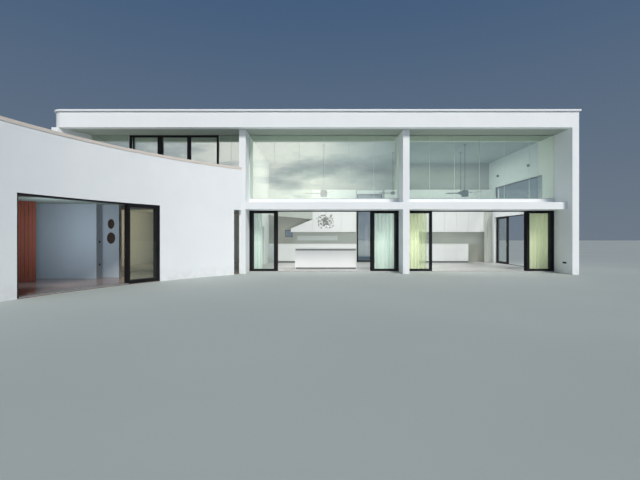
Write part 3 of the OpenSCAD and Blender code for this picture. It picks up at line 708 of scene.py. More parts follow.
    def piece(self, name: str, finishes: Sequence[Finish], body: str = HOUSE,
              slot: str | None = None, bevel: float = 0.0,
              closed: bool = True) -> bpy.types.Object:
        """Makes the gathered forms one object that rides on a body.

        Args:
            name: The piece's name.
            finishes: Its finishes, in the order of the forms' slots.
            body: The CAD body that it moves with.
            slot: The record's material slot; it is not used.
            bevel: Width by which its edges are rounded.
            closed: Whether its faces are turned to the outside.

        Returns:
            The object.
        """
        mesh = bpy.data.meshes.new(name)
        mesh.from_pydata(self.points, [], self.faces)
        for finish in finishes:
            mesh.materials.append(material_of(finish))
        mesh.polygons.foreach_set("material_index", self.slots)
        mesh.polygons.foreach_set("use_smooth", self.rounds)
        if closed:
            edit = bmesh.new()
            edit.from_mesh(mesh)
            bmesh.ops.recalc_face_normals(edit, faces=edit.faces)
            edit.to_mesh(mesh)
            edit.free()
        mesh.update()
        made = add_object(name, mesh)
        if bevel:
            edge = made.modifiers.new("rounded_edges", "BEVEL")
            edge.width, edge.segments, edge.limit_method = bevel, BEVEL_STEPS, "ANGLE"
            edge.angle_limit = SHARP_EDGE
        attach(made, body)
        LOG.info("%s: %d faces, on %s", name, len(self.faces), body)
        return made


def straight(origin: Point, along: tuple[float, float], out: tuple[float, float]) -> Place:
    """Gives a place function for a flat wall.

    Args:
        origin: Where the wall's own axes start.
        along: Direction of the first axis in plan.
        out: Direction of the second axis in plan.

    Returns:
        The function.
    """
    def place(u: float, n: float, z: float) -> Point:
        """Moves a point of the wall to the row frame."""
        return (origin[0] + u * along[0] + n * out[0],
                origin[1] + u * along[1] + n * out[1], origin[2] + z)
    return place


def moved(place: Place, step: Point) -> Place:
    """Gives a place function that goes a step further than another.

    Args:
        place: The other function.
        step: The step, in the row frame.

    Returns:
        The function.
    """
    def further(u: float, n: float, z: float) -> Point:
        """Moves a point to the row frame and takes the step."""
        x, y, high = place(u, n, z)
        return x + step[0], y + step[1], high + step[2]
    return further


# Sub-assemblies: each class holds its sizes in metres and its angles in degrees, and its
# build() makes its pieces.


# How thick the strips on the sills and in the tracks are.
SKIN = 0.0002


@dataclass(frozen=True)
class Curve:
    """The curved wall's circle."""

    centre: tuple[float, float] = (4.510563, -13.733809)
    inner: float = 12.7
    thick: float = 0.27
    track: float = 0.06

    def middle(self) -> float:
        """Returns the radius of the wall's middle."""
        return self.inner + self.thick / 2

    def outer(self) -> float:
        """Returns the radius of the wall's outer face."""
        return self.inner + self.thick

    def turn(self, width: float) -> float:
        """Returns the angle in degrees of a width along the wall's middle."""
        return math.degrees(width / self.middle())

    def at(self, radius: float, angle: float) -> tuple[float, float]:
        """Gives a point in plan.

        Args:
            radius: Its distance from the centre.
            angle: Its angle in radians from the curve's left arm.

        Returns:
            The point.
        """
        return (self.centre[0] - radius * math.cos(angle),
                self.centre[1] + radius * math.sin(angle))

    def place(self, radius: float, start: float) -> Place:
        """Gives a place function for the round wall.

        Args:
            radius: Radius where the second axis is 0.
            start: Angle in degrees from the curve's left arm where the first axis starts.

        Returns:
            The function, whose first axis is measured on the wall's middle.
        """
        def place(u: float, n: float, z: float) -> Point:
            """Moves a point of the wall to the row frame."""
            return (*self.at(radius + n, math.radians(start) + u / self.middle()), z)
        return place


CURVE = Curve()

SHELL_NODES: dict[Finish, tuple[str, ...]] = {
    Finish.WALL: (
        "roof_parapet", "right_wall_front", "right_wall_rear", "right_wall_over_door",
        "left_fin", "left_wall", "back_wall_left", "back_wall_right", "column_left",
        "column_middle", "door_beam", "glazing_sill", "curved_wall_right",
        "curved_wall_left", "curved_wall_lintel", "porch_outer_wall"),
    Finish.ROOM: ("inner_wall", "upper_floor"),
    # The porch's back wall takes a blue-grey paint of painted shade.
    Finish.ENTRY_SHADE: ("porch_back_wall",),
    # The roof deck and porch roof undersides take a paint of painted shade.
    Finish.SOFFIT_SHADE: ("roof_deck", "entry_roof"),
    Finish.FLOOR: ("floor_slab",),
    Finish.PORCH: ("entry_floor",),
    Finish.CAP: ("parapet_cap",),
    Finish.COPING: ("roof_coping",),
}


@dataclass
class Shell:
    """Walls, floors and roof, with the roof's sheet, joints and outlets."""

    frame: dict
    seam: float = 1.5
    sheet_t: float = 0.008
    sheet_gap: float = 0.002
    corner: float = 0.13
    lap: float = 0.05
    lap_t: float = 0.003
    upstand: tuple[float, float] = (0.012, 0.15)
    outlet_in: tuple[float, float] = (4.0, 0.6)
    # Radius and height of the outlet's rings, and of the ends of its cage's rods.
    outlet: tuple[tuple[float, float], ...] = (
        (0, 0), (0.13, 0), (0.13, 0.012), (0.1, 0.02), (0.09, 0.05), (0.06, 0.07), (0, 0.075))
    cage: tuple[tuple[float, float], ...] = ((0.1, 0.02), (0.05, 0.085))
    cage_rods: int = 12
    cage_rod: float = 0.004
    joint: float = 3.0
    joint_w: float = 0.05
    coping_w: float = 0.36
    coping_end: float = 0.6
    strap_t: float = 0.0015
    side_straps: tuple[float, float] = (-1.2, 1.6)
    tile_t: float = 0.02
    tile_gap: float = 0.01
    curve_gap: float = 0.012
    curve_end: float = 50.6
    curve_steps: int = 40
    tiles_back: tuple[float, float] = (-10.25, -3.97)

    def build(self) -> None:
        """Paints the shell's nodes and dresses the roofs."""
        for finish, nodes in SHELL_NODES.items():
            paint(self.frame, finish, *nodes)
        self.roof_sheet()
        self.outlets()
        self.coping_joints()
        self.porch_roof()

    def roof_sheet(self) -> None:
        """Lays the roof's sheet in lapped widths inside the parapet."""
        low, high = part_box("roof_deck")
        roof = Shape()
        x, y0, y1, z = low.x, low.y + self.sheet_gap, high.y - self.sheet_gap, high.z
        count = round((high.x - low.x) / self.seam)
        width = (high.x - low.x) / count
        a, b, top = x + self.sheet_gap, x + width, z + self.sheet_t
        roof.prism([(a, y0 + self.corner), (x + self.corner, y0), (b, y0), (b, y1), (a, y1)],
                   (z, top))
        for i in range(1, count):
            a, b = x + i * width, x + (i + 1) * width
            roof.bar((a, y0, z), (b, y1, top))
            roof.bar((a - self.lap, y0, top), (a + self.lap, y1, top + self.lap_t))
        thick, rise = self.upstand
        for y in (y0, y1 - thick):
            roof.bar((x + 2 * self.corner, y, z), (high.x, y + thick, z + rise))
        roof.piece("roof_sheet", [Finish.MEMBRANE], slot="soffit")

    def outlets(self) -> None:
        """Sets two outlets with cages of rods near the back of the roof."""
        low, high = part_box("roof_deck")
        drains = Shape()
        y = high.y - self.outlet_in[1]
        for x in (low.x + self.outlet_in[0], high.x - self.outlet_in[0]):
            drains.lathe(self.outlet, 24, Matrix.Translation((x, y, high.z + self.sheet_t)))
            for i in range(self.cage_rods):
                angle = math.radians(360 * i / self.cage_rods)
                foot, head = ((x + radius * math.cos(angle), y + radius * math.sin(angle),
                               high.z + lift) for radius, lift in self.cage)
                drains.rod(foot, head, self.cage_rod, 6)
        drains.piece("roof_outlets", [Finish.STEEL], slot="fan_metal")

    def inward(self, side: float) -> list[float]:
        """Returns both edges of the coping on one side, from that side's outer edge."""
        return sorted((side, side - math.copysign(self.coping_w, side)))

    def coping_joints(self) -> None:
        """Covers the joints between the coping's lengths with narrow straps."""
        low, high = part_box("roof_coping")
        straps = Shape()
        half, thick = self.joint_w / 2, self.strap_t
        count = int((high.x - low.x - 2 * self.coping_end) / self.joint)
        for i in range(1, count + 1):
            x = (low.x + self.coping_end
                 + i * (high.x - low.x - self.coping_end) / (count + 1))
            for side in (low.y, high.y):
                y0, y1 = self.inward(side)
                straps.bar((x - half, y0, high.z), (x + half, y1, high.z + thick))
                edge = y0 - thick if side < 0 else y1
                straps.bar((x - half, edge, low.z), (x + half, edge + thick, high.z + thick))
        for side in (low.x, high.x):
            x0, x1 = self.inward(side)
            for y in self.side_straps:
                straps.bar((x0, y - half, high.z), (x1, y + half, high.z + thick))
        straps.piece("coping_straps", [Finish.COPING], slot="white_render")

    def porch_roof(self) -> None:
        """Tiles the porch roof, which is the upper terrace."""
        low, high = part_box("entry_roof")
        x0, y0, y1 = low.x + self.tile_gap, low.y + self.tile_gap, high.y - self.tile_gap
        radius = CURVE.outer() + self.curve_gap
        first = math.asin((y0 - CURVE.centre[1]) / radius)
        last = math.radians(self.curve_end)
        outline = [(x0, y0)]
        outline += [CURVE.at(radius, first + (last - first) * i / self.curve_steps)
                    for i in range(self.curve_steps + 1)]
        outline += [(high.x - self.tile_gap, y1), (self.tiles_back[0], y1),
                    (x0, self.tiles_back[1])]
        deck = Shape()
        deck.prism(outline, (high.z, high.z + self.tile_t))
        deck.piece("terrace_tiles", [Finish.DECK], slot="floor_stone")


@dataclass(frozen=True)
class ShadeLining:
    """Lining of painted shade on the living space's back wall, as [left, right, foot, head].
    """

    panels: tuple[tuple[float, float, float, float], ...] = (
        (-3.284, 10.124, 4.382, 6.019), (-3.284, -2.302, 1.142, 4.378),
        (-2.302, -1.858, 1.142, 1.538), (-2.302, -1.858, 1.982, 4.378),
        (-1.858, -0.64, 1.142, 4.378), (8.622, 10.124, 0.021, 1.12),
        (1.982, 2.068, 0.021, 4.38), (3.632, 3.718, 0.021, 4.38))
    thick: float = 0.0015

    def build(self) -> None:
        """Makes the lining of painted shade."""
        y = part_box("back_wall_right")[0].y
        skin = Shape()
        for left, right, foot, head in self.panels:
            skin.bar((left, y - self.thick, foot), (right, y, head))
        skin.piece("rear_shade_lining", [Finish.REAR_SHADE], slot="white_render")


class LeafPart(IntEnum):
    """The finishes of a leaf's bars, by their place in the piece's list."""

    BARS = 0
    SEALS = 1
    STEEL = 2


@dataclass(frozen=True)
class Site:
    """Where a leaf stands, how large it is, and how many lengths its level bars have."""

    place: Place
    width: float
    tall: float
    steps: int = 1


@dataclass(frozen=True)
class Fitting:
    """A small bar on a leaf's face: its edges from the leaf's face and from a point on it."""

    left: float
    right: float
    foot: float
    head: float
    near: float
    far: float
    part: LeafPart = LeafPart.BARS


PULL = (Fitting(-0.018, 0.018, 0.95, 1.17, 0.0, 0.003, LeafPart.STEEL),
        Fitting(-0.008, 0.008, 0.98, 1.09, 0.003, 0.0045),
        Fitting(-0.007, 0.007, 1.12, 1.134, 0.003, 0.0045))
LEVER = (Fitting(-0.019, 0.019, 0.93, 1.15, 0.0, 0.006),
         Fitting(-0.009, 0.009, 1.05, 1.068, 0.006, 0.05),
         Fitting(-0.14, 0.009, 1.05, 1.068, 0.036, 0.05))


@dataclass(frozen=True)
class Leaf:
    """A glazed leaf: frame bars, glazing beads, seals, a pane and a flush pull."""

    stiles: tuple[float, float] = (0.1, 0.1)
    rail: float = 0.07
    top: float = 0.045
    thick: float = 0.046
    pane: float = 0.024
    bead: float = 0.014
    bead_in: float = 0.003
    seal: float = 0.005
    seal_out: float = 0.002
    runner: tuple[float, float] = (0.14, 0.016)
    lift: float = 0.0057

    def opening(self, site: Site) -> tuple[float, float, float, float]:
        """Returns the pane's left, right, lower and upper edges."""
        return (self.stiles[0], site.width - self.stiles[1], self.rail,
                site.tall - self.top)

    def bead_forms(self, shape: Shape, site: Site) -> None:
        """Adds the beads and the rubber seals round the pane, on both faces.

        Args:
            shape: Gathers the forms.
            site: Where the leaf stands.
        """
        x0, x1, z0, z1 = self.opening(site)
        bands = ((0.0, self.bead, self.thick / 2 - self.bead_in, LeafPart.BARS),
                 (self.bead, self.seal, self.pane / 2 + self.seal_out, LeafPart.SEALS))
        for face in (-1, 1):
            for inset, wide, depth, part in bands:
                near, far = sorted((face * self.pane / 2, face * depth))
                shape.ring((x0 + inset, near, z0 + inset), (x1 - inset, far, z1 - inset),
                           (wide,) * 4, site.place, site.steps, part)

    def fit(self, shape: Shape, place: Place, u: float, parts: Iterable[Fitting]) -> None:
        """Adds fittings on both faces.

        Args:
            shape: Gathers the forms.
            place: Moves a point of the leaf to the row frame.
            u: Where along the leaf the fittings are.
            parts: The fittings.
        """
        for face in (-1, 1):
            for part in parts:
                near, far = sorted(face * (self.thick / 2 + n) for n in (part.near, part.far))
                shape.bar((u + part.left, near, part.foot), (u + part.right, far, part.head),
                          place, 1, part.part)

    def pane_form(self, shape: Shape, site: Site) -> None:
        """Adds the pane as one sheet, so that light passes a stack of leaves.

        Args:
            shape: Gathers the sheet.
            site: Where the leaf stands.
        """
        x0, x1, z0, z1 = self.opening(site)
        shape.surface(lambda u, v: site.place(x0 + (x1 - x0) * u, 0.0, z0 + (z1 - z0) * v),
                      site.steps, 1)

    def build(self, name: str, site: Site, pull: float | None) -> None:
        """Makes a moving leaf.

        Args:
            name: The CAD node that it stands for, also its body's name.
            site: Where it stands.
            pull: Where along the leaf its pull is, or None.
        """
        bars = Shape()
        t = self.thick / 2
        bars.ring((0.0, -t, 0.0), (site.width, t, site.tall),
                  (*self.stiles, self.rail, self.top), site.place, site.steps)
        self.bead_forms(bars, site)
        long, half = self.runner[0], self.runner[1] / 2
        for u in (max(self.stiles), site.width - max(self.stiles) - long):
            bars.bar((u, -half, -self.lift), (u + long, half, 0.0), site.place, 1,
                     LeafPart.STEEL)
        if pull is not None:
            self.fit(bars, site.place, pull, PULL)
        made = bars.piece(name + "_bars", [Finish.FRAME, Finish.RUBBER, Finish.STEEL], name,
                          "black_frame", SOFT)
        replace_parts(made, name)
        glass = Shape()
        self.pane_form(glass, site)
        glass.piece(name + "_pane", [Finish.PANE], name, "glass", closed=False)


class PullEnd(IntEnum):
    """Where along a leaf its pull is, as the way in which the fixed leaf is staggered."""

    START = 1
    END = -1


@dataclass
class SlidingDoors:
    """The front doors of both living bays and the side door."""

    frame: dict
    panes: Shape
    stile: float = 0.1
    jamb_stile: float = 0.06
    jamb: float = 0.04
    foot: float = 0.006
    track: float = 0.06
    tracks: int = 3
    sill: float = 0.035
    sill_foot: float = 0.021
    line_w: float = 0.008
    plate_w: float = 0.04
    nose: float = 0.0015
    stagger: float = 0.025

    def build(self) -> None:
        """Makes the leaves and dresses the fixed frames."""
        paint(self.frame, Finish.FRAME, "front_door_frames", "side_door_frame")
        fixed = Shape()
        for letter, end in zip("abcd", (PullEnd.END, PullEnd.START) * 2):
            self.leaf_pair(f"leaf_{letter}_second", end, False, fixed,
                           (end * self.stagger, -self.track, 0.0))
            self.moving_leaf(f"leaf_{letter}_lead", end, True)
        for name, end in (("side_leaf_front", PullEnd.END), ("side_leaf_rear", PullEnd.START)):
            self.leaf_pair(name, end, True, fixed, (self.track, end * self.stagger, 0.0))
        fixed.piece("fixed_leaf_beads", [Finish.FRAME, Finish.RUBBER], slot="black_frame",
                    bevel=FINE)
        self.sills()

    def sills(self) -> None:
        """Lays rails in the tracks, and pale plates on the front sills and their faces."""
        rails, plates = Shape(), Shape()
        low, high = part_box("front_door_frames")
        left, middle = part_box("column_left"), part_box("column_middle")
        half, wide, top = self.line_w / 2, self.plate_w / 2, self.sill + SKIN
        for start, end in ((left[1].x, middle[0].x), (middle[1].x, high.x)):
            x0, x1 = start + self.jamb, end - self.jamb
            for i in range(1, self.tracks):
                y = low.y + self.track * (i + 0.5)
                rails.bar((x0, y - half, self.sill), (x1, y + half, top))
                edge = y - self.track / 2
                plates.bar((x0, edge - wide, self.sill), (x1, edge + wide, top))
            plates.bar((x0, low.y - self.nose, self.sill_foot), (x1, low.y, top))
        low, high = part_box("side_door_frame")
        x = low.x + self.track / 2
        rails.bar((x - half, low.y + self.jamb, self.sill),
                  (x + half, high.y - self.jamb, top))
        rails.piece("track_rails", [Finish.STEEL], slot="black_frame")
        plates.piece("sill_plates", [Finish.SILL], slot="black_frame")

    def site(self, node: str) -> Site:
        """Gives the place and size of a front or side leaf.

        Args:
            node: The leaf's CAD node.

        Returns:
            Where it stands.
        """
        low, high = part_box(node)
        z = self.sill + self.foot
        if high.x - low.x > high.y - low.y:
            place = straight((low.x, (low.y + high.y) / 2, z), (1, 0), (0, 1))
            return Site(place, high.x - low.x, high.z - z)
        place = straight(((low.x + high.x) / 2, low.y, z), (0, 1), (-1, 0))
        return Site(place, high.y - low.y, high.z - z)

    def moving_leaf(self, node: str, end: PullEnd, pull: bool) -> tuple[Leaf, Site]:
        """Makes a moving leaf, with its wide bar at the pull's end.

        Args:
            node: Its CAD node.
            end: The pull's end.
            pull: Whether it has a pull there.

        Returns:
            The leaf's form and where it stands.
        """
        site = self.site(node)
        bars, u = (self.stile, self.jamb_stile), self.stile / 2
        if end is PullEnd.END:
            bars, u = (self.jamb_stile, self.stile), site.width - self.stile / 2
        leaf = Leaf(stiles=bars)
        leaf.build(node, site, u if pull else None)
        return leaf, site

    def leaf_pair(self, node: str, end: PullEnd, pull: bool, fixed: Shape,
                  step: Point) -> None:
        """Makes a moving leaf and the glazing of the fixed leaf beside it.

        Args:
            node: The moving leaf's CAD node.
            end: The pull's end.
            pull: Whether it has a pull there.
            fixed: Gathers the fixed leaf's beads.
            step: From the moving leaf to the fixed one.
        """
        leaf, site = self.moving_leaf(node, end, pull)
        beside = Site(moved(site.place, step), site.width, site.tall)
        leaf.bead_forms(fixed, beside)
        leaf.pane_form(self.panes, beside)


@dataclass
class Gate:
    """The gate in the curved wall: bent leaves on four tracks, and the slot window."""

    frame: dict
    panes: Shape
    leaf: Leaf = Leaf(stiles=(0.05, 0.05))
    names: tuple[str, ...] = ("fixed", "second", "third", "lead")
    width: float = 1.086
    jamb: float = 0.046
    to_column: float = 3.425
    column_corner: tuple[float, float] = (-3.555, -3.615)
    slot: tuple[float, float] = (0.3497, 2.6497)
    slot_in: float = 0.042
    slot_gap: float = 0.001
    foot: float = 0.041
    sill: float = 0.035
    sill_foot: float = 0.021
    sill_steps: int = 24
    plates: tuple[tuple[float, float], ...] = ((0.0, 0.02), (0.04, 0.06))
    nose: float = 0.0015
    lap: float = 0.024
    top: float = 2.594
    steps: int = 12

    def corner(self) -> float:
        """Returns the angle of the curved wall's end, at the left column."""
        return math.degrees(math.atan2(self.column_corner[1] - CURVE.centre[1],
                                       CURVE.centre[0] - self.column_corner[0]))

    def start(self) -> float:
        """Returns the angle of the left edge of the stacked leaves."""
        return self.corner() - CURVE.turn(self.to_column + self.jamb + self.width)

    def slot_pane(self) -> None:
        """Adds the pane of the slot window beside the column."""
        wide, tall = self.slot
        place = CURVE.place(CURVE.outer() - self.slot_in, self.corner() - CURVE.turn(wide))
        self.panes.surface(lambda u, v: place((wide - self.slot_gap) * u, 0.0, tall * v), 4, 1)

    def build(self) -> None:
        """Makes the leaves, each on a track of its own, and dresses the sill."""
        paint(self.frame, Finish.FRAME, "gate_frame")
        self.slot_pane()
        base = CURVE.middle() - (len(self.names) - 1) / 2 * CURVE.track
        for track, name in enumerate(self.names):
            place = moved(CURVE.place(base + track * CURVE.track, self.start()),
                          (0.0, 0.0, self.foot))
            site = Site(place, self.width, self.top - self.foot, self.steps)
            if name == "fixed":
                self.fixed_leaf(site)
                self.sill_plates(place)
            else:
                self.leaf.build("gate_leaf_" + name, site,
                                self.leaf.stiles[0] / 2 if name == "lead" else None)

    def fixed_leaf(self, site: Site) -> None:
        """Adds the fixed leaf's beads, pane and lever handle.

        Args:
            site: Where the leaf stands.
        """
        beads = Shape()
        self.leaf.bead_forms(beads, site)
        self.leaf.pane_form(self.panes, site)
        self.leaf.fit(beads, site.place, self.width - self.leaf.stiles[1] / 2, LEVER)
        beads.piece("gate_fixed_beads", [Finish.FRAME, Finish.RUBBER], slot="black_frame")

    def sill_plates(self, place: Place) -> None:
        """Lays pale plates on the sill across the opening, and on its front face.

        Args:
            place: The fixed leaf's place function.
        """
        plates = Shape()
        last = len(self.names) - 1
        span, high = last * (self.width - self.lap), self.sill - self.foot
        for i in range(last + 1):
            n = (i - 0.5) * CURVE.track
            for near, far in self.plates:
                plates.bar((-span, n + near, high), (0.0, n + far, high + SKIN), place,
                           self.sill_steps)
        n = -0.5 * CURVE.track
        plates.bar((-span, n - self.nose, self.sill_foot - self.foot), (0.0, n, high + SKIN),
                   place, self.sill_steps)
        plates.piece("gate_sill_plates", [Finish.SILL], slot="black_frame")


@dataclass
class UpperGlazing:
    """The frameless panes over the doors and the terrace door, with their seals."""

    frame: dict
    joint: float = 0.008
    joint_in: float = 0.002
    pane: float = 0.024
    panes: int = 6
    beside_door: tuple[int, int] = (1, 2)
    channel: float = 0.012
    channel_h: float = 0.03
    channel_gap: float = 0.0005
    edge: tuple[float, float] = (0.014, 0.003)
    jamb: float = 0.04
    stile: float = 0.05
    rail: float = 0.07
    leaves: int = 3
    bar_at: tuple[float, float] = (0.13, 0.09)
    bar_size: tuple[float, float] = (0.05, 0.03)
    bar_short: float = 0.01

    def build(self) -> None:
        """Paints the glass and sets the seals, the channels and pale strips of painted
        highlight.
        """
        paint(self.frame, Finish.HIGH_PANE, "upper_glass")
        paint(self.frame, Finish.FRAME, "terrace_door_frame")
        left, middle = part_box("column_left"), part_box("column_middle")
        door, low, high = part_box("terrace_door_frame"), *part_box("glazing_sill")
        sill, top, y = high.z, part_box("roof_deck")[0].z, low.y
        seals, metal, ends = Shape(), Shape(), Shape()
        bays = ((left[1].x, middle[0].x, self.panes),
                (middle[1].x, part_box("right_wall_front")[0].x, self.panes),
                (door[1].x, left[0].x, self.beside_door[1]),
                (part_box("left_wall")[1].x, door[0].x, self.beside_door[0]))
        wide, nose = self.edge
        for x0, x1, count in bays:
            width = (x1 - x0 + self.joint) / count
            for i in range(1, count):
                x = x0 + i * width
                seals.bar((x - self.joint, y + self.joint_in, sill),
                          (x, y + self.pane - self.joint_in, top))
            # Pale strips at each bay's ends are a painted highlight of the glass edges.
            for x in (x0, x1 - wide):
                ends.bar((x, y - nose, sill), (x + wide, y, top))
            for z0, z1 in ((sill, sill + self.channel_h), (top - self.channel_h, top)):
                metal.bar((x0, y + self.pane + self.channel_gap, z0),
                          (x1, y + self.pane + self.channel, z1))
        seals.piece("pane_seals", [Finish.SEAL], slot="glass")
        metal.piece("pane_channels", [Finish.STEEL], slot="black_frame")
        ends.piece("pane_end_highlights", [Finish.EDGE_HIGHLIGHT], slot="glass")
        self.terrace_door(sill, top)

    def terrace_door(self, sill: float, top: float) -> None:
        """Sets beads round the three panes of the terrace door, and its second stiles.

        Args:
            sill: Height of the door's foot.
            top: Height of its head.
        """
        low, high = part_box("terrace_door_frame")
        leaf = Leaf(stiles=(self.stile, self.stile), rail=self.rail, top=self.rail,
                    thick=high.y - low.y)
        width = (high.x - low.x - (self.leaves + 1) * self.jamb) / self.leaves
        beads = Shape()
        for i in range(self.leaves):
            x = low.x + self.jamb + i * (width + self.jamb)
            place = straight((x, (low.y + high.y) / 2, sill), (1, 0), (0, 1))
            leaf.bead_forms(beads, Site(place, width, top - sill))
        first, second = self.bar_at
        wide, deep = self.bar_size
        for x in (low.x + self.jamb + first, low.x + self.jamb * 2 + width + second):
            beads.bar((x, low.y - deep, sill + self.bar_short),
                      (x + wide, low.y, top - self.bar_short))
        beads.piece("terrace_door_beads", [Finish.FRAME, Finish.RUBBER], slot="black_frame",
                    bevel=FINE)


@dataclass
class Windows:
    """The plain windows of the hidden sides: seals, handles and outer sills."""

    frame: dict
    wide: float = 1.8
    tall: float = 1.3
    ring: float = 0.05
    sills: tuple[float, float] = (0.97, 4.17)
    sheet: tuple[float, float] = (0.094, 0.004)
    seal: tuple[float, float] = (0.006, 0.004)
    seal_in: tuple[float, float] = (0.1185, 0.147)
    # A handle bar's left, right and half height, and its depths from the outside.
    handle: tuple[tuple[float, float, float, float, float], ...] = (
        (-0.014, 0.014, 0.035, 0.175, 0.183), (-0.009, 0.009, 0.009, 0.183, 0.205),
        (-0.12, 0.009, 0.008, 0.195, 0.207))

    def build(self) -> None:
        """Paints the windows and makes their small parts."""
        paint(self.frame, Finish.FRAME, "window_frames")
        paint(self.frame, Finish.PANE, "window_glass")
        parts = Shape()
        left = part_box("left_wall")
        y = (left[0].y + left[1].y) / 2 - self.wide / 2
        x = (left[1].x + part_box("column_left")[0].x) / 2 + self.wide / 2
        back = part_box("back_wall_left")[1].y
        for z in self.sills:
            self.window(parts, straight((x, back, z), (-1, 0), (0, -1)))
        self.window(parts, straight((left[0].x, y, self.sills[1]), (0, 1), (1, 0)))
        parts.piece("window_parts", [Finish.STEEL, Finish.RUBBER], slot="black_frame",
                    bevel=FINE)

    def window(self, parts: Shape, place: Place) -> None:
        """Adds a sill sheet, rubber seals and a handle.

        Args:
            parts: Gathers the forms.
            place: Moves a point of the window to the row frame, with the outside at 0.
        """
        deep, thick = self.sheet
        parts.bar((0.0, 0.0, 0.0), (self.wide, deep, thick), place)
        a, b, c, d = self.ring, self.wide - self.ring, self.ring, self.tall - self.ring
        seal, far = self.seal
        for n in self.seal_in:
            for low, high in (((a, n, c), (a + seal, n + far, d)),
                              ((b - seal, n, c), (b, n + far, d)),
                              ((a, n, c), (b, n + far, c + seal)),
                              ((a, n, d - seal), (b, n + far, d))):
                parts.bar(low, high, place, 1, 1)
        u, z = self.wide - self.ring / 2, self.tall / 2
        for left, right, half, near, far in self.handle:
            parts.bar((u + left, near, z - half), (u + right, far, z + half), place)


@dataclass
class Curtain:
    """A curtain that hangs in deep folds from a rail under the sill beam."""

    name: str
    node: str
    left: float
    right: float
    finish: Finish
    slot: str
    middle: float = -2.46
    foot: float = 0.032
    head: float = 2.6997
    pitch: float = 0.168
    deep: float = 0.038
    seed: int = 1
    gap: float = 0.02
    past: float = 0.02
    # Waves per three folds that shift the folds, how far (least and most), and how much
    # they wander towards the hem.
    waves: tuple[float, ...] = (0.37, 0.81, 1.73)
    wave: tuple[float, float] = (0.25, 0.55)
    wander: float = 0.8
    shift: float = 0.9
    # The folds' depth is a mean share and one that varies at a pace along the rail.
    mean: float = 0.82
    vary: float = 0.18
    pace: float = 0.23
    flatter: float = 0.18
    lean: float = 0.09
    hems: tuple[tuple[float, float], ...] = ((0.0, 0.036), (0.972, 1.0))
    hem_t: float = 0.0012
    fold_steps: int = 22
    up_steps: int = 40
    rail_w: float = 0.024
    rail_gap: float = 0.002
    # Half sizes of a glider along and across the rail, and how far it reaches down and up.
    glider: tuple[float, float, float, float] = (0.003, 0.004, 0.012, 0.004)

    def line(self, share: float, rise: float) -> tuple[float, float]:
        """Gives the plan of the folds at a height.

        Args:
            share: How far along the cloth, from 0 to 1.
            rise: How far up, from 0 at the hem to 1 at the rail.

        Returns:
            How far along the rail, from 0 to 1, and how far from its middle, in metres.
        """
        folds = (self.right - self.left) / self.pitch
        rng = random.Random(self.seed)
        offset = 0.0
        for k in self.waves:
            offset += rng.uniform(*self.wave) * math.sin(
                2 * math.pi * (k * folds * share / 3 + rng.random())
                + rng.uniform(-self.wander, self.wander) * (1 - rise))
        phase = 2 * math.pi * folds * share + self.shift * offset
        depth = self.deep * (self.mean + self.vary * math.sin(phase * self.pace + self.seed))
        depth *= 1.0 - self.flatter * rise
        lean = self.lean * math.sin(2 * phase) / folds / 2
        return share + lean, depth * math.sin(phase)

    def at(self, a: float, b: float) -> Point:
        """Gives a point of the cloth.

        Args:
            a: How far along, from 0 to 1.
            b: How far up, from 0 to 1.

        Returns:
            The point in the row frame.
        """
        along, out = self.line(a, b)
        along = min(max(along, 0.0), 1.0)
        x = self.left + (self.right - self.left) * along
        return x, self.middle + out, self.foot + (self.top() - self.foot) * b

    def top(self) -> float:
        """Returns the height of the cloth's upper edge."""
        return self.head - self.gap

    def length(self, across: int) -> float:
        """Measures the unfolded cloth.

        Args:
            across: The number of its faces across.

        Returns:
            The mean length of its hem, its middle and its upper edge.
        """
        total = 0.0
        for rise in (0.0, 0.5, 1.0):
            row = [Vector(self.at(i / across, rise)) for i in range(across + 1)]
            total += sum((q - p).length for p, q in zip(row, row[1:])) / 3
        return total

    def build(self) -> None:
        """Makes the cloth, its hem bands and its rail."""
        across = max(60, int((self.right - self.left) / self.pitch * self.fold_steps))
        cloth = Shape()
        cloth.surface(self.at, across, self.up_steps)
        made = cloth.piece(self.name, [self.finish], slot=self.slot, closed=False)
        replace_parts(made, self.node)
        hem = self.hem(across)
        self.length(across)
        self.top() - self.foot
        self.rail()

    def hem(self, across: int) -> bpy.types.Object:
        """Makes the bands along the cloth's lower and upper edges, on both faces.

        Args:
            across: The number of their faces across.

        Returns:
            The piece.
        """
        bands = Shape()
        for z0, z1 in self.hems:
            for shift in (-self.hem_t, self.hem_t):
                def band(a: float, b: float, z0: float = z0, z1: float = z1,
                         shift: float = shift) -> Point:
                    """Gives a point of the band."""
                    x, y, z = self.at(a, z0 + (z1 - z0) * b)
                    return x, y + shift, z
                bands.surface(band, across, 2)
        return bands.piece(self.name + "_hem", [self.finish], slot=self.slot, closed=False)

    def rail(self) -> None:
        """Makes the rail, with a glider at each half fold."""
        middle, top = self.middle, self.top()
        rail = Shape()
        half = self.rail_w / 2
        rail.bar((self.left - self.past, middle - half, top + self.rail_gap),
                 (self.right + self.past, middle + half, self.head))
        long, wide, down, up = self.glider
        gliders = int((self.right - self.left) / self.pitch) * 2
        for i in range(gliders + 1):
            x = self.left + (self.right - self.left) * i / gliders
            rail.bar((x - long, middle - wide, top - down),
                     (x + long, middle + wide, top + up))
        rail.piece(self.name + "_rail", [Finish.OPAL], slot="white_render", bevel=FINE)


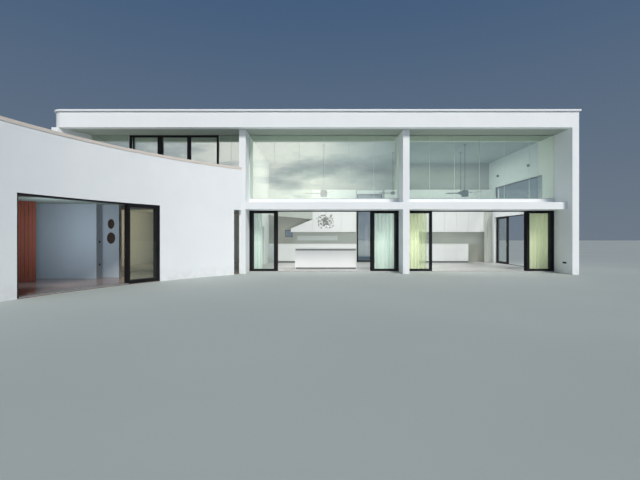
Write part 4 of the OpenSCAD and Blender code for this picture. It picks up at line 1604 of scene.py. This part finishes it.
@dataclass
class Kitchen:
    """Door fronts, worktops, plinths and the splash panels of the kitchen, and its island."""

    frame: dict
    front: float = 0.019
    gap: float = 0.008
    unit: float = 0.7
    splash_left: float = -1.857
    splash_t: float = 0.008
    strip: tuple[float, float, float, float] = (-1.56, 0.89, 1.34, 1.61)
    strip_t: float = 0.004
    # The units stand on both sides of the tall opening in the back wall.
    opening: tuple[float, float] = (1.98, 3.72)
    boxing_right: float = -0.637
    units_left: float = -0.63
    door_head: float = 3.11
    drawers: tuple[float, float] = (0.12, 0.76)
    under_top: float = 0.01
    plinth: tuple[float, float] = (0.11, 0.003)
    worktop: tuple[float, float] = (0.006, 0.02)
    slope: tuple[tuple[float, float], ...] = (
        (-1.93, 1.84), (-0.637, 1.84), (-0.637, 2.6), (-1.93, 2.05))
    boxing_foot: tuple[float, float] = (2.86, 2.61)
    skin: float = 0.002
    island_top: float = 0.1
    island_gap: float = 0.0405
    island_end: float = 0.03
    island_hair: float = 0.001
    island_fronts: int = 4
    island_plinth: float = 0.08
    island_plinth_t: float = 0.0005
    island_joint: float = 0.003

    def build(self) -> None:
        """Dresses the units and the island."""
        paint(self.frame, Finish.UNIT, "kitchen_wall_units", "kitchen_base_units")
        paint(self.frame, Finish.WORKTOP, "kitchen_island")
        wall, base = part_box("kitchen_wall_units"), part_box("kitchen_base_units")
        runs = ((base[0].x, self.opening[0]), (self.opening[1], base[1].x))
        doors = Shape()
        for x0, x1 in ((self.units_left, self.opening[0]), (self.opening[1], wall[1].x)):
            self.fronts(doors, x0, x1, wall[0].y,
                        (wall[0].z, self.door_head, wall[1].z))
        for x0, x1 in runs:
            self.fronts(doors, x0, x1, base[0].y,
                        (*self.drawers, base[1].z - self.under_top))
        doors.piece("unit_doors", [Finish.UNIT], slot="kitchen_white", bevel=SOFT)
        tops, dark = Shape(), Shape()
        lip, thick = self.worktop
        for x0, x1 in runs:
            tops.bar((x0, base[0].y - self.front - lip, base[1].z),
                     (x1, base[1].y, base[1].z + thick))
        tops.piece("unit_worktops", [Finish.WORKTOP], slot="island_stone", bevel=BROAD)
        y, head, deep = base[1].y, wall[0].z, base[1].y - self.splash_t
        for x0, x1 in runs:
            # A dark plinth board of painted shade under the doors.
            dark.bar((x0, base[0].y - self.plinth[1], base[0].z),
                     (x1, base[0].y, self.plinth[0]))
            dark.bar((max(x0, self.splash_left), deep, base[1].z + thick), (x1, y, head),
                     slot=1)
        dark.bar((base[1].x, deep, base[1].z), (wall[1].x, y, head), slot=1)
        left, right, low, high = self.strip
        dark.bar((left, y - self.splash_t - self.strip_t, low), (right, deep, high), slot=2)
        dark.piece("splash_and_plinth_shade", [Finish.PLINTH_SHADE, Finish.SPLASH, Finish.STRIP],
                   slot="kitchen_white")
        self.boxing(wall[0], wall[1])
        self.island()

    def boxing(self, low: Vector, high: Vector) -> None:
        """Covers the sloped panel, and the boxing over it with board grey as painted shade.

        Args:
            low: The wall units' lowest corner.
            high: Their highest corner.
        """
        board = Shape()
        right = self.boxing_right
        over = ((low.x, self.boxing_foot[0]), (right, self.boxing_foot[1]), (right, high.z),
                (low.x, high.z))
        for slot, outline in ((1, self.slope), (0, over)):
            board.prism(outline, (low.y - self.skin, low.y), lambda x, z, y: (x, y, z), slot)
        board.piece("boxing_boards", [Finish.BOXING_SHADE, Finish.UNIT], slot="kitchen_white")

    def fronts(self, doors: Shape, x0: float, x1: float, y: float,
               heights: Sequence[float]) -> None:
        """Adds a run of door fronts.

        Args:
            doors: Gathers the forms.
            x0: Left end of the run.
            x1: Right end of the run.
            y: Front of the units.
            heights: Lower and upper edges of the rows of doors.
        """
        count = int((x1 - x0) / self.unit + 1e-6)
        width, half = (x1 - x0) / count, self.gap / 2
        for i in range(count):
            for low, high in zip(heights, heights[1:]):
                doors.bar((x0 + i * width + half, y - self.front, low + half),
                          (x0 + (i + 1) * width - half, y, high - half))

    def island(self) -> None:
        """Adds the island's front, end and back panels, and painted shade at plinth and gap.
        """
        low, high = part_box("kitchen_island")
        end, skin, joint, hair = (self.island_end, self.skin, self.island_joint,
                                  self.island_hair)
        foot, top = low.z + hair, high.z - self.island_top
        body = Shape()
        for x0, x1 in ((low.x, low.x + end), (high.x - end, high.x)):
            body.bar((x0, low.y - skin, foot), (x1, low.y, top))
            body.bar((x0, high.y, foot), (x1, high.y + skin, top))
        width = (high.x - low.x - 2 * end) / self.island_fronts
        for i in range(self.island_fronts):
            a = low.x + end + i * width
            for y0, y1 in ((low.y - skin, low.y), (high.y, high.y + skin)):
                body.bar((a + joint, y0, low.z + self.island_plinth),
                         (a + width - joint, y1, top))
        body.piece("island_panels", [Finish.UNIT], slot="kitchen_white")
        # Dark blocks of painted shade in the recess under the worktop and at the plinth.
        dark = Shape()
        dark.bar((low.x + end - skin, low.y + end - skin, top + hair),
                 (high.x - end + skin, high.y - end + skin, high.z - self.island_gap))
        dark.bar((low.x + end, low.y - self.island_plinth_t, foot),
                 (high.x - end, low.y, low.z + self.island_plinth - hair))
        dark.piece("island_gap_plinth_shade", [Finish.PLINTH_SHADE], slot="kitchen_white")


@dataclass
class Fan:
    """A ceiling fan's motor and three tapered blades."""

    node: str
    centre: tuple[float, float]
    radius: float = 0.16
    tip: float = 0.94
    blades: int = 3
    chord: tuple[float, float] = (0.125, 0.09)
    tilt: float = 12.0
    thick: float = 0.009
    root: float = 0.07
    round_from: float = 0.93
    round_over: float = 0.07
    sides: int = 36

    def build(self) -> None:
        """Makes the turning part."""
        low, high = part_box(self.node)
        half = (high.z - low.z) / 2
        centre = Matrix.Translation((*self.centre, (low.z + high.z) / 2))
        body = Shape()
        r = self.radius
        # The motor's housing from its foot up, and the two bands round it.
        body.lathe([(0.02, -half), (r - 0.03, -half), (r - 0.01, -half + 0.008),
                    (r, -half + 0.025), (r, half - 0.03), (r - 0.012, half - 0.01),
                    (r - 0.04, half), (0.02, half)], self.sides, centre)
        for z in (-0.35 * half, 0.35 * half):
            body.lathe([(r - 0.01, z - 0.005), (r + 0.0015, z - 0.004),
                        (r + 0.0015, z + 0.004), (r - 0.01, z + 0.005)], self.sides, centre)
        for i in range(self.blades):
            turn = Matrix.Rotation(math.radians((i + 0.5) * 360 / self.blades), 4, "Z")
            tilt = Matrix.Rotation(math.radians(self.tilt), 4, "X")
            self.blade(body, centre @ turn @ tilt)
        made = body.piece(self.node + "_blades", [Finish.FAN], self.node, "fan_metal")
        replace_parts(made, self.node)

    def blade(self, body: Shape, matrix: Matrix) -> None:
        """Adds one blade with a bracket.

        Args:
            body: Gathers the forms.
            matrix: Brings the blade from its own X axis to its place.
        """
        def put(x: float, y: float, z: float) -> Point:
            """Moves a point of the blade to the row frame."""
            return tuple(matrix @ Vector((x, y, z)))
        upper: list[tuple[float, float]] = []
        for i in range(25):
            share = i / 24
            x = self.radius + self.root + (self.tip - self.radius - self.root) * share
            half = (self.chord[0] + (self.chord[1] - self.chord[0]) * share) / 2
            end = max(0.0, (share - self.round_from) / self.round_over)
            upper.append((x, half * math.sqrt(max(0.0, 1 - end ** 2.2)) if end else half))
        outline = upper + [(x, -y) for x, y in reversed(upper) if y > 0]
        body.prism(outline, (-self.thick / 2, self.thick / 2), put)
        body.bar((self.radius - 0.03, -0.02, -0.006), (self.radius + 0.17, 0.02, 0.012), put)


@dataclass
class HangingLight:
    """A drum with small discs on thin arms, set round it as a globe."""

    arms: int = 44
    reach: float = 0.515
    shortest: float = 0.78
    disc: float = 0.052
    drum: tuple[float, float] = (0.142, 0.197)
    drum_rim: float = 0.01
    high: float = 2.393
    steepest: float = 52.0
    golden: float = 0.381966
    stem: float = 0.007
    arm: float = 0.0035
    # Radius and height of each ring of the rose, of a disc and of its cover; those of the
    # disc and the cover have the disc's radius as 1.
    rose: tuple[tuple[float, float], ...] = (
        (0, -0.03), (0.055, -0.03), (0.064, -0.02), (0.064, 0.0), (0, 0.0))
    plate: tuple[tuple[float, float], ...] = ((0, -0.004), (1, -0.004), (1, 0.002), (0, 0.002))
    cover: tuple[tuple[float, float], ...] = (
        (0, 0.002), (0.5, 0.002), (0.4, 0.007), (0, 0.009))
    seed: int = 5

    def build(self) -> None:
        """Makes the light, which stands for its CAD node."""
        low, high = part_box("hanging_light")
        centre = Vector(((low.x + high.x) / 2, (low.y + high.y) / 2, self.high))
        light, covers = Shape(), Shape()
        light.rod(tuple(centre), (centre.x, centre.y, high.z + self.rose[0][1]),
                  self.stem, 12)
        light.lathe(self.rose, 28, Matrix.Translation((centre.x, centre.y, high.z)))
        (r, h), rim = self.drum, self.drum_rim
        light.lathe([(0, -h), (r - rim, -h), (r, -h + rim), (r, h - rim), (r - rim, h),
                     (0, h)], 32, Matrix.Translation(centre))
        rng = random.Random(self.seed)
        limit = math.sin(math.radians(self.steepest))
        for i in range(self.arms):
            angle = 2 * math.pi * i * self.golden
            lift = limit * (2 * (i + 0.5) / self.arms - 1)
            reach = self.reach * rng.uniform(self.shortest, 1.0)
            flat = reach * math.sqrt(1 - lift ** 2)
            tip = Vector((flat * math.cos(angle), flat * math.sin(angle), reach * lift))
            light.rod(tuple(centre), tuple(centre + tip), self.arm, 6)
            spot = Matrix.Translation(centre + tip) @ turn_to(tip)
            for shape, rings in ((light, self.plate), (covers, self.cover)):
                shape.lathe([(self.disc * share, z) for share, z in rings], 18, spot)
        made = light.piece("light_arms", [Finish.LIGHT], slot="light_metal")
        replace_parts(made, "hanging_light")
        covers.piece("light_covers", [Finish.OPAL], slot="light_metal")


@dataclass
class Entry:
    """The porch behind the curved wall: screen boards, wall pieces and switches."""

    frame: dict
    board: float = 0.095
    space: float = 0.008
    short: float = 0.005
    screen_start: tuple[float, float] = (-9.9, -6.465)
    screen_end: float = -10.87
    screen_way: float = 219.0
    screen_gap: float = 0.01
    faces: tuple[tuple[float, float], ...] = ((-0.014, 0.0), (0.06, 0.074))
    disc_at: tuple[float, float] = (-8.03, -5.18)
    # Height, half width and half height of each carved disc.
    discs: tuple[tuple[float, float, float], ...] = ((2.03, 0.12, 0.185), (1.5, 0.15, 0.215))
    disc: tuple[tuple[float, float], ...] = (
        (0, 0.0), (0.93, 0.0), (1.0, 0.012), (0.97, 0.024), (0.84, 0.028), (0.76, 0.018),
        (0.5, 0.016), (0.42, 0.026), (0.16, 0.032), (0, 0.033))
    switches: tuple[float, float] = (1.32, 0.48)
    # A switch's plate and its key, as lowest and highest corners over its height.
    switch: tuple[tuple[Point, Point], ...] = (
        ((-8.36, -5.4, 0.0), (-8.352, -5.32, 0.08)),
        ((-8.352, -5.385, 0.015), (-8.349, -5.335, 0.065)))
    # The step light's depth, its ends along the right wall, its foot and its head.
    step_light: tuple[float, float, float, float, float] = (0.012, -3.57, -3.34, 0.425, 0.495)

    def build(self) -> None:
        """Dresses the porch."""
        paint(self.frame, Finish.SCREEN_CORE, "timber_screen")
        self.screen_boards()
        self.wall_pieces()

    def screen_boards(self) -> None:
        """Lays upright boards on both faces of the timber screen."""
        low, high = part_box("timber_screen")
        turn = math.radians(self.screen_way)
        cos, sin = math.cos(turn), math.sin(turn)
        place = straight((*self.screen_start, 0.0), (cos, sin), (-sin, cos))
        boards = Shape()
        length = (self.screen_start[0] - self.screen_end) / -cos - self.screen_gap
        pitch = self.board + self.space
        count = int(length / pitch)
        edge = (length - count * pitch + self.space) / 2
        for near, far in self.faces:
            for i in range(count):
                u = edge + i * pitch
                boards.bar((u, near, low.z + self.short),
                           (u + self.board, far, high.z - self.short), place)
        boards.piece("screen_boards", [Finish.SCREEN], slot="timber", bevel=BROAD)

    def wall_pieces(self) -> None:
        """Hangs two carved discs, and fits switches and a step light."""
        discs, plates = Shape(), Shape()
        for z, wide, tall in self.discs:
            spot = (Matrix.Translation((*self.disc_at, z))
                    @ Matrix.Rotation(math.radians(90), 4, "X")
                    @ Matrix.Diagonal((wide, tall, 1.0, 1.0)))
            discs.lathe(self.disc, 36, spot)
        discs.piece("wall_discs", [Finish.CARVED], slot="timber")
        for height in self.switches:
            for low, high in self.switch:
                plates.bar((*low[:2], height + low[2]), (*high[:2], height + high[2]))
        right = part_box("right_wall_front")[0].x
        deep, y0, y1, z0, z1 = self.step_light
        plates.bar((right - deep, y0, z0), (right, y1, z1))
        plates.piece("switches", [Finish.FRAME], slot="black_frame", bevel=FINE)


@dataclass
class WallLights:
    """Two small box lights high on the right wall."""

    high: float = 5.06
    places: tuple[float, float] = (-0.76, 2.47)
    deep: float = 0.09
    half: tuple[float, float] = (0.06, 0.05)
    rim: float = 0.008
    back: float = 0.01
    cover: float = 0.003

    def build(self) -> None:
        """Makes the lights."""
        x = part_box("right_wall_front")[0].x
        wide, tall = self.half
        top, glass = self.high + tall, wide - self.rim
        lamps = Shape()
        for y in self.places:
            lamps.bar((x - self.deep, y - wide, self.high - tall), (x, y + wide, top))
            lamps.bar((x - self.deep + self.rim, y - glass, top),
                      (x - self.back, y + glass, top + self.cover), slot=1)
        lamps.piece("wall_lights", [Finish.FRAME, Finish.OPAL], slot="fan_metal",
                    bevel=BROAD)


def aim(lamp: bpy.types.Object, way: Vector) -> None:
    """Turns a lamp so that it shines in a direction.

    Args:
        lamp: The lamp.
        way: The direction.
    """
    lamp.rotation_mode = "QUATERNION"
    lamp.rotation_quaternion = way.to_track_quat("-Z", "Y")


@dataclass(frozen=True)
class Lamp:
    """A soft square lamp that points at something, unseen by camera and mirrors."""

    name: str
    at: Point
    to: Point
    size: float
    watts: float
    colour: Colour = (1.0, 1.0, 1.0)

    def build(self) -> None:
        """Makes the lamp."""
        data = bpy.data.lights.new(self.name, "AREA")
        data.size, data.energy, data.color = self.size, self.watts, self.colour
        lamp = add_object(self.name, data)
        lamp.location = self.at
        aim(lamp, Vector(self.to) - Vector(self.at))
        lamp.visible_camera = lamp.visible_glossy = False


@dataclass
class Studio:
    """The floor round the house, the sky, the lights and the camera."""

    eye: Point = (-0.18, -19.465, 1.54)
    lens: float = 21.375
    sensor: float = 36.0
    shift: float = -3 / 640
    horizon: Colour = (0.56, 0.70, 0.86)
    zenith: Colour = (0.20, 0.39, 0.72)
    cloud: Colour = (1.0, 0.99, 0.97)
    ground: tuple[Colour, Colour] = ((0.41, 0.45, 0.43), (0.44, 0.48, 0.46))
    reach: float = 150.0
    below: float = 0.002
    sun: float = 2.8
    sun_size: float = 16.0
    sun_way: Point = (-10.0, 25.0, -23.0)
    sun_colour: Colour = (1.0, 0.97, 0.92)
    # The middle of each living bay, and the power of the lamps at its two curtains.
    bays: tuple[tuple[float, tuple[float, float]], ...] = (
        (0.0, (17.0, 16.0)), (6.8, (34.0, 19.0)))

    def build(self) -> None:
        """Sets the stage."""
        self.floor()
        self.world()
        self.lights()
        self.camera()
        view = bpy.context.scene.view_settings
        view.view_transform, view.look = "Standard", "None"

    def floor(self) -> None:
        """Lays the plain pale floor."""
        mesh = bpy.data.meshes.new("floor")
        far = self.reach
        mesh.from_pydata([(-far, -far, 0), (far, -far, 0), (far, far, 0), (-far, far, 0)],
                         [], [(0, 1, 2, 3)])
        material, g = new_material("studio_floor")
        base = g.blend(g.span(g.noise(0.2, 2.0), *MOST), *self.ground)
        g.show(g.principled(Base_Color=base, Roughness=0.8))
        mesh.materials.append(material)
        floor = add_object("floor", mesh)
        floor.location.z = -self.below

    def world(self) -> None:
        """Makes a sky that pales to the horizon, with clouds in the south for the panes."""
        world = bpy.data.worlds.new("sky")
        bpy.context.scene.world = world
        world.use_nodes = True
        g = Graph(world.node_tree)
        way = g.add("TexCoord").outputs["Generated"]
        axes = g.add("SeparateXYZ", {"Vector": way}).outputs
        up = axes["Z"]
        colour = g.blend(g.span(up, 0.0, 0.55), self.horizon, self.zenith)
        wisps = g.add("Mapping", {"Vector": way, "Location": (-0.08, 0.0, 0.0),
                                  "Scale": (1.0, 1.0, 3.5)}).outputs["Vector"]
        puffs = g.add("TexNoise", {"Vector": wisps, "Scale": 4.5, "Detail": 6.0,
                                   "Roughness": 0.6}).outputs["Fac"]
        south = g.times(g.span(axes["Y"], -0.75, -0.95), g.span(axes["X"], 0.22, -0.02, 0.2))
        cloud = g.times(g.times(south, g.span(puffs, 0.33, 0.52, 0.4, 1.0)),
                        g.times(g.span(up, 0.02, 0.06), g.span(up, 0.42, 0.26)))
        colour = g.blend(cloud, colour, self.cloud)
        sky = g.add("Background", {"Color": colour,
                                   "Strength": g.span(cloud, 0.0, 1.0, 0.28, 1.3)})
        out = g.add("OutputWorld")
        g.tree.links.new(sky.outputs[0], out.inputs["Surface"])

    def lamps(self) -> list[Lamp]:
        """Lists the soft lamps in the rooms and on the porch.

        Returns:
            The lamps.
        """
        lamps: list[Lamp] = []
        for i, (x, watts) in enumerate(self.bays):
            lamps += [
                Lamp(f"room_{i}", (x, 0.9, 5.9), (x, 0.9, 0.0), 4.5, 112.0),
                Lamp(f"ceiling_{i}", (x, 0.9, 3.3), (x, 0.9, 6.0), 4.0, 26.0),
                Lamp(f"units_{i}", (x + 1.5, -0.6, 2.3), (x + 0.6, 3.6, 1.1), 2.4, 38.0),
                Lamp(f"base_{i}", (x - 1.5, -0.5, 1.0), (x - 1.7, 3.5, 0.5), 1.0, 22.0)]
            lamps += [Lamp(f"curtain_{i}_{side + 1}", (x + 2.6 * side, -1.2, 1.4),
                           (x + 2.8 * side, -2.5, 1.4), 1.2, power)
                      for side, power in zip((-1, 1), watts)]
        return lamps + [
            Lamp("upstairs", (-7.0, 0.5, 5.8), (-7.0, 0.5, 0.0), 3.0, 30.0),
            Lamp("porch", (-8.4, -8.0, 1.75), (-9.4, -5.4, 1.35), 1.2, 35.0,
                 (0.75, 0.88, 1.0)),
            Lamp("hall", (-7.2, 0.8, 1.9), (-10.2, 0.3, 1.7), 1.0, 24.0,
                 (1.0, 0.82, 0.50))]

    def lights(self) -> None:
        """Sets the soft sun from the right front, and the lamps."""
        data = bpy.data.lights.new("sun", "SUN")
        data.energy, data.angle = self.sun, math.radians(self.sun_size)
        data.color = self.sun_colour
        aim(add_object("sun", data), Vector(self.sun_way))
        for lamp in self.lamps():
            lamp.build()

    def camera(self) -> None:
        """Makes the camera at the photograph's place."""
        data = bpy.data.cameras.new("camera")
        data.lens, data.sensor_width = self.lens, self.sensor
        data.shift_y = self.shift
        camera = add_object("camera", data)
        camera.location = self.eye
        camera.rotation_euler = (math.radians(90), 0, 0)
        bpy.context.scene.camera = camera


def fans() -> list[Fan]:
    """Lists the ceiling fans.

    Returns:
        Two large fans at the front and two smaller ones at the rear.
    """
    return [Fan("fan_rotor_left", (0.0, -1.055)),
            Fan("fan_rotor_right", (6.84, -1.055)),
            Fan("fan_rotor_rear_left", (3.68, 0.655), 0.12, 0.735),
            Fan("fan_rotor_rear_right", (7.27, 0.655), 0.12, 0.735)]


def curtains() -> list[Curtain]:
    """Lists the curtains of both living bays.

    Returns:
        Two curtains in the left bay, two in the right bay, and one in its rear corner.
    """
    left_bay, right_bay = "curtains_left_bay", "curtains_right_bay"
    left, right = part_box(left_bay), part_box(right_bay)
    wide, right_end, corner = 0.98, 10.085, (9.625, 10.115)
    mint, lime = "mint_curtain", "lime_curtain"
    return [
        Curtain("curtain_a", left_bay, left[0].x, left[0].x + wide / 2, Finish.MINT, mint,
                seed=3),
        Curtain("curtain_b", left_bay, left[1].x - wide, left[1].x, Finish.MINT, mint,
                seed=8),
        Curtain("curtain_c", right_bay, right[0].x, right[0].x + wide, Finish.LIME_SHEER,
                lime, seed=13),
        Curtain("curtain_d", right_bay, right_end - wide, right_end, Finish.LIME, lime,
                seed=21),
        Curtain("curtain_e", right_bay, *corner, Finish.GREY_CLOTH, lime, middle=3.24,
                head=3.152, pitch=0.098, seed=34, past=0.0),
    ]


def main() -> None:
    """Builds the scene."""
    logging.basicConfig(level=logging.INFO, format="%(name)s: %(message)s")
    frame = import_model()
    Studio().build()
    Shell(frame).build()
    ShadeLining().build()
    paint(frame, Finish.FAN, "fan_stems")
    panes = Shape()
    SlidingDoors(frame, panes).build()
    Gate(frame, panes).build()
    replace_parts(panes.piece("fixed_panes", [Finish.PANE], slot="glass", closed=False),
                "door_fixed_glass")
    UpperGlazing(frame).build()
    Windows(frame).build()
    Kitchen(frame).build()
    Entry(frame).build()
    WallLights().build()
    for fan in fans():
        fan.build()
    HangingLight().build()
    for curtain in curtains():
        curtain.build()


if __name__ == "__main__":
    main()
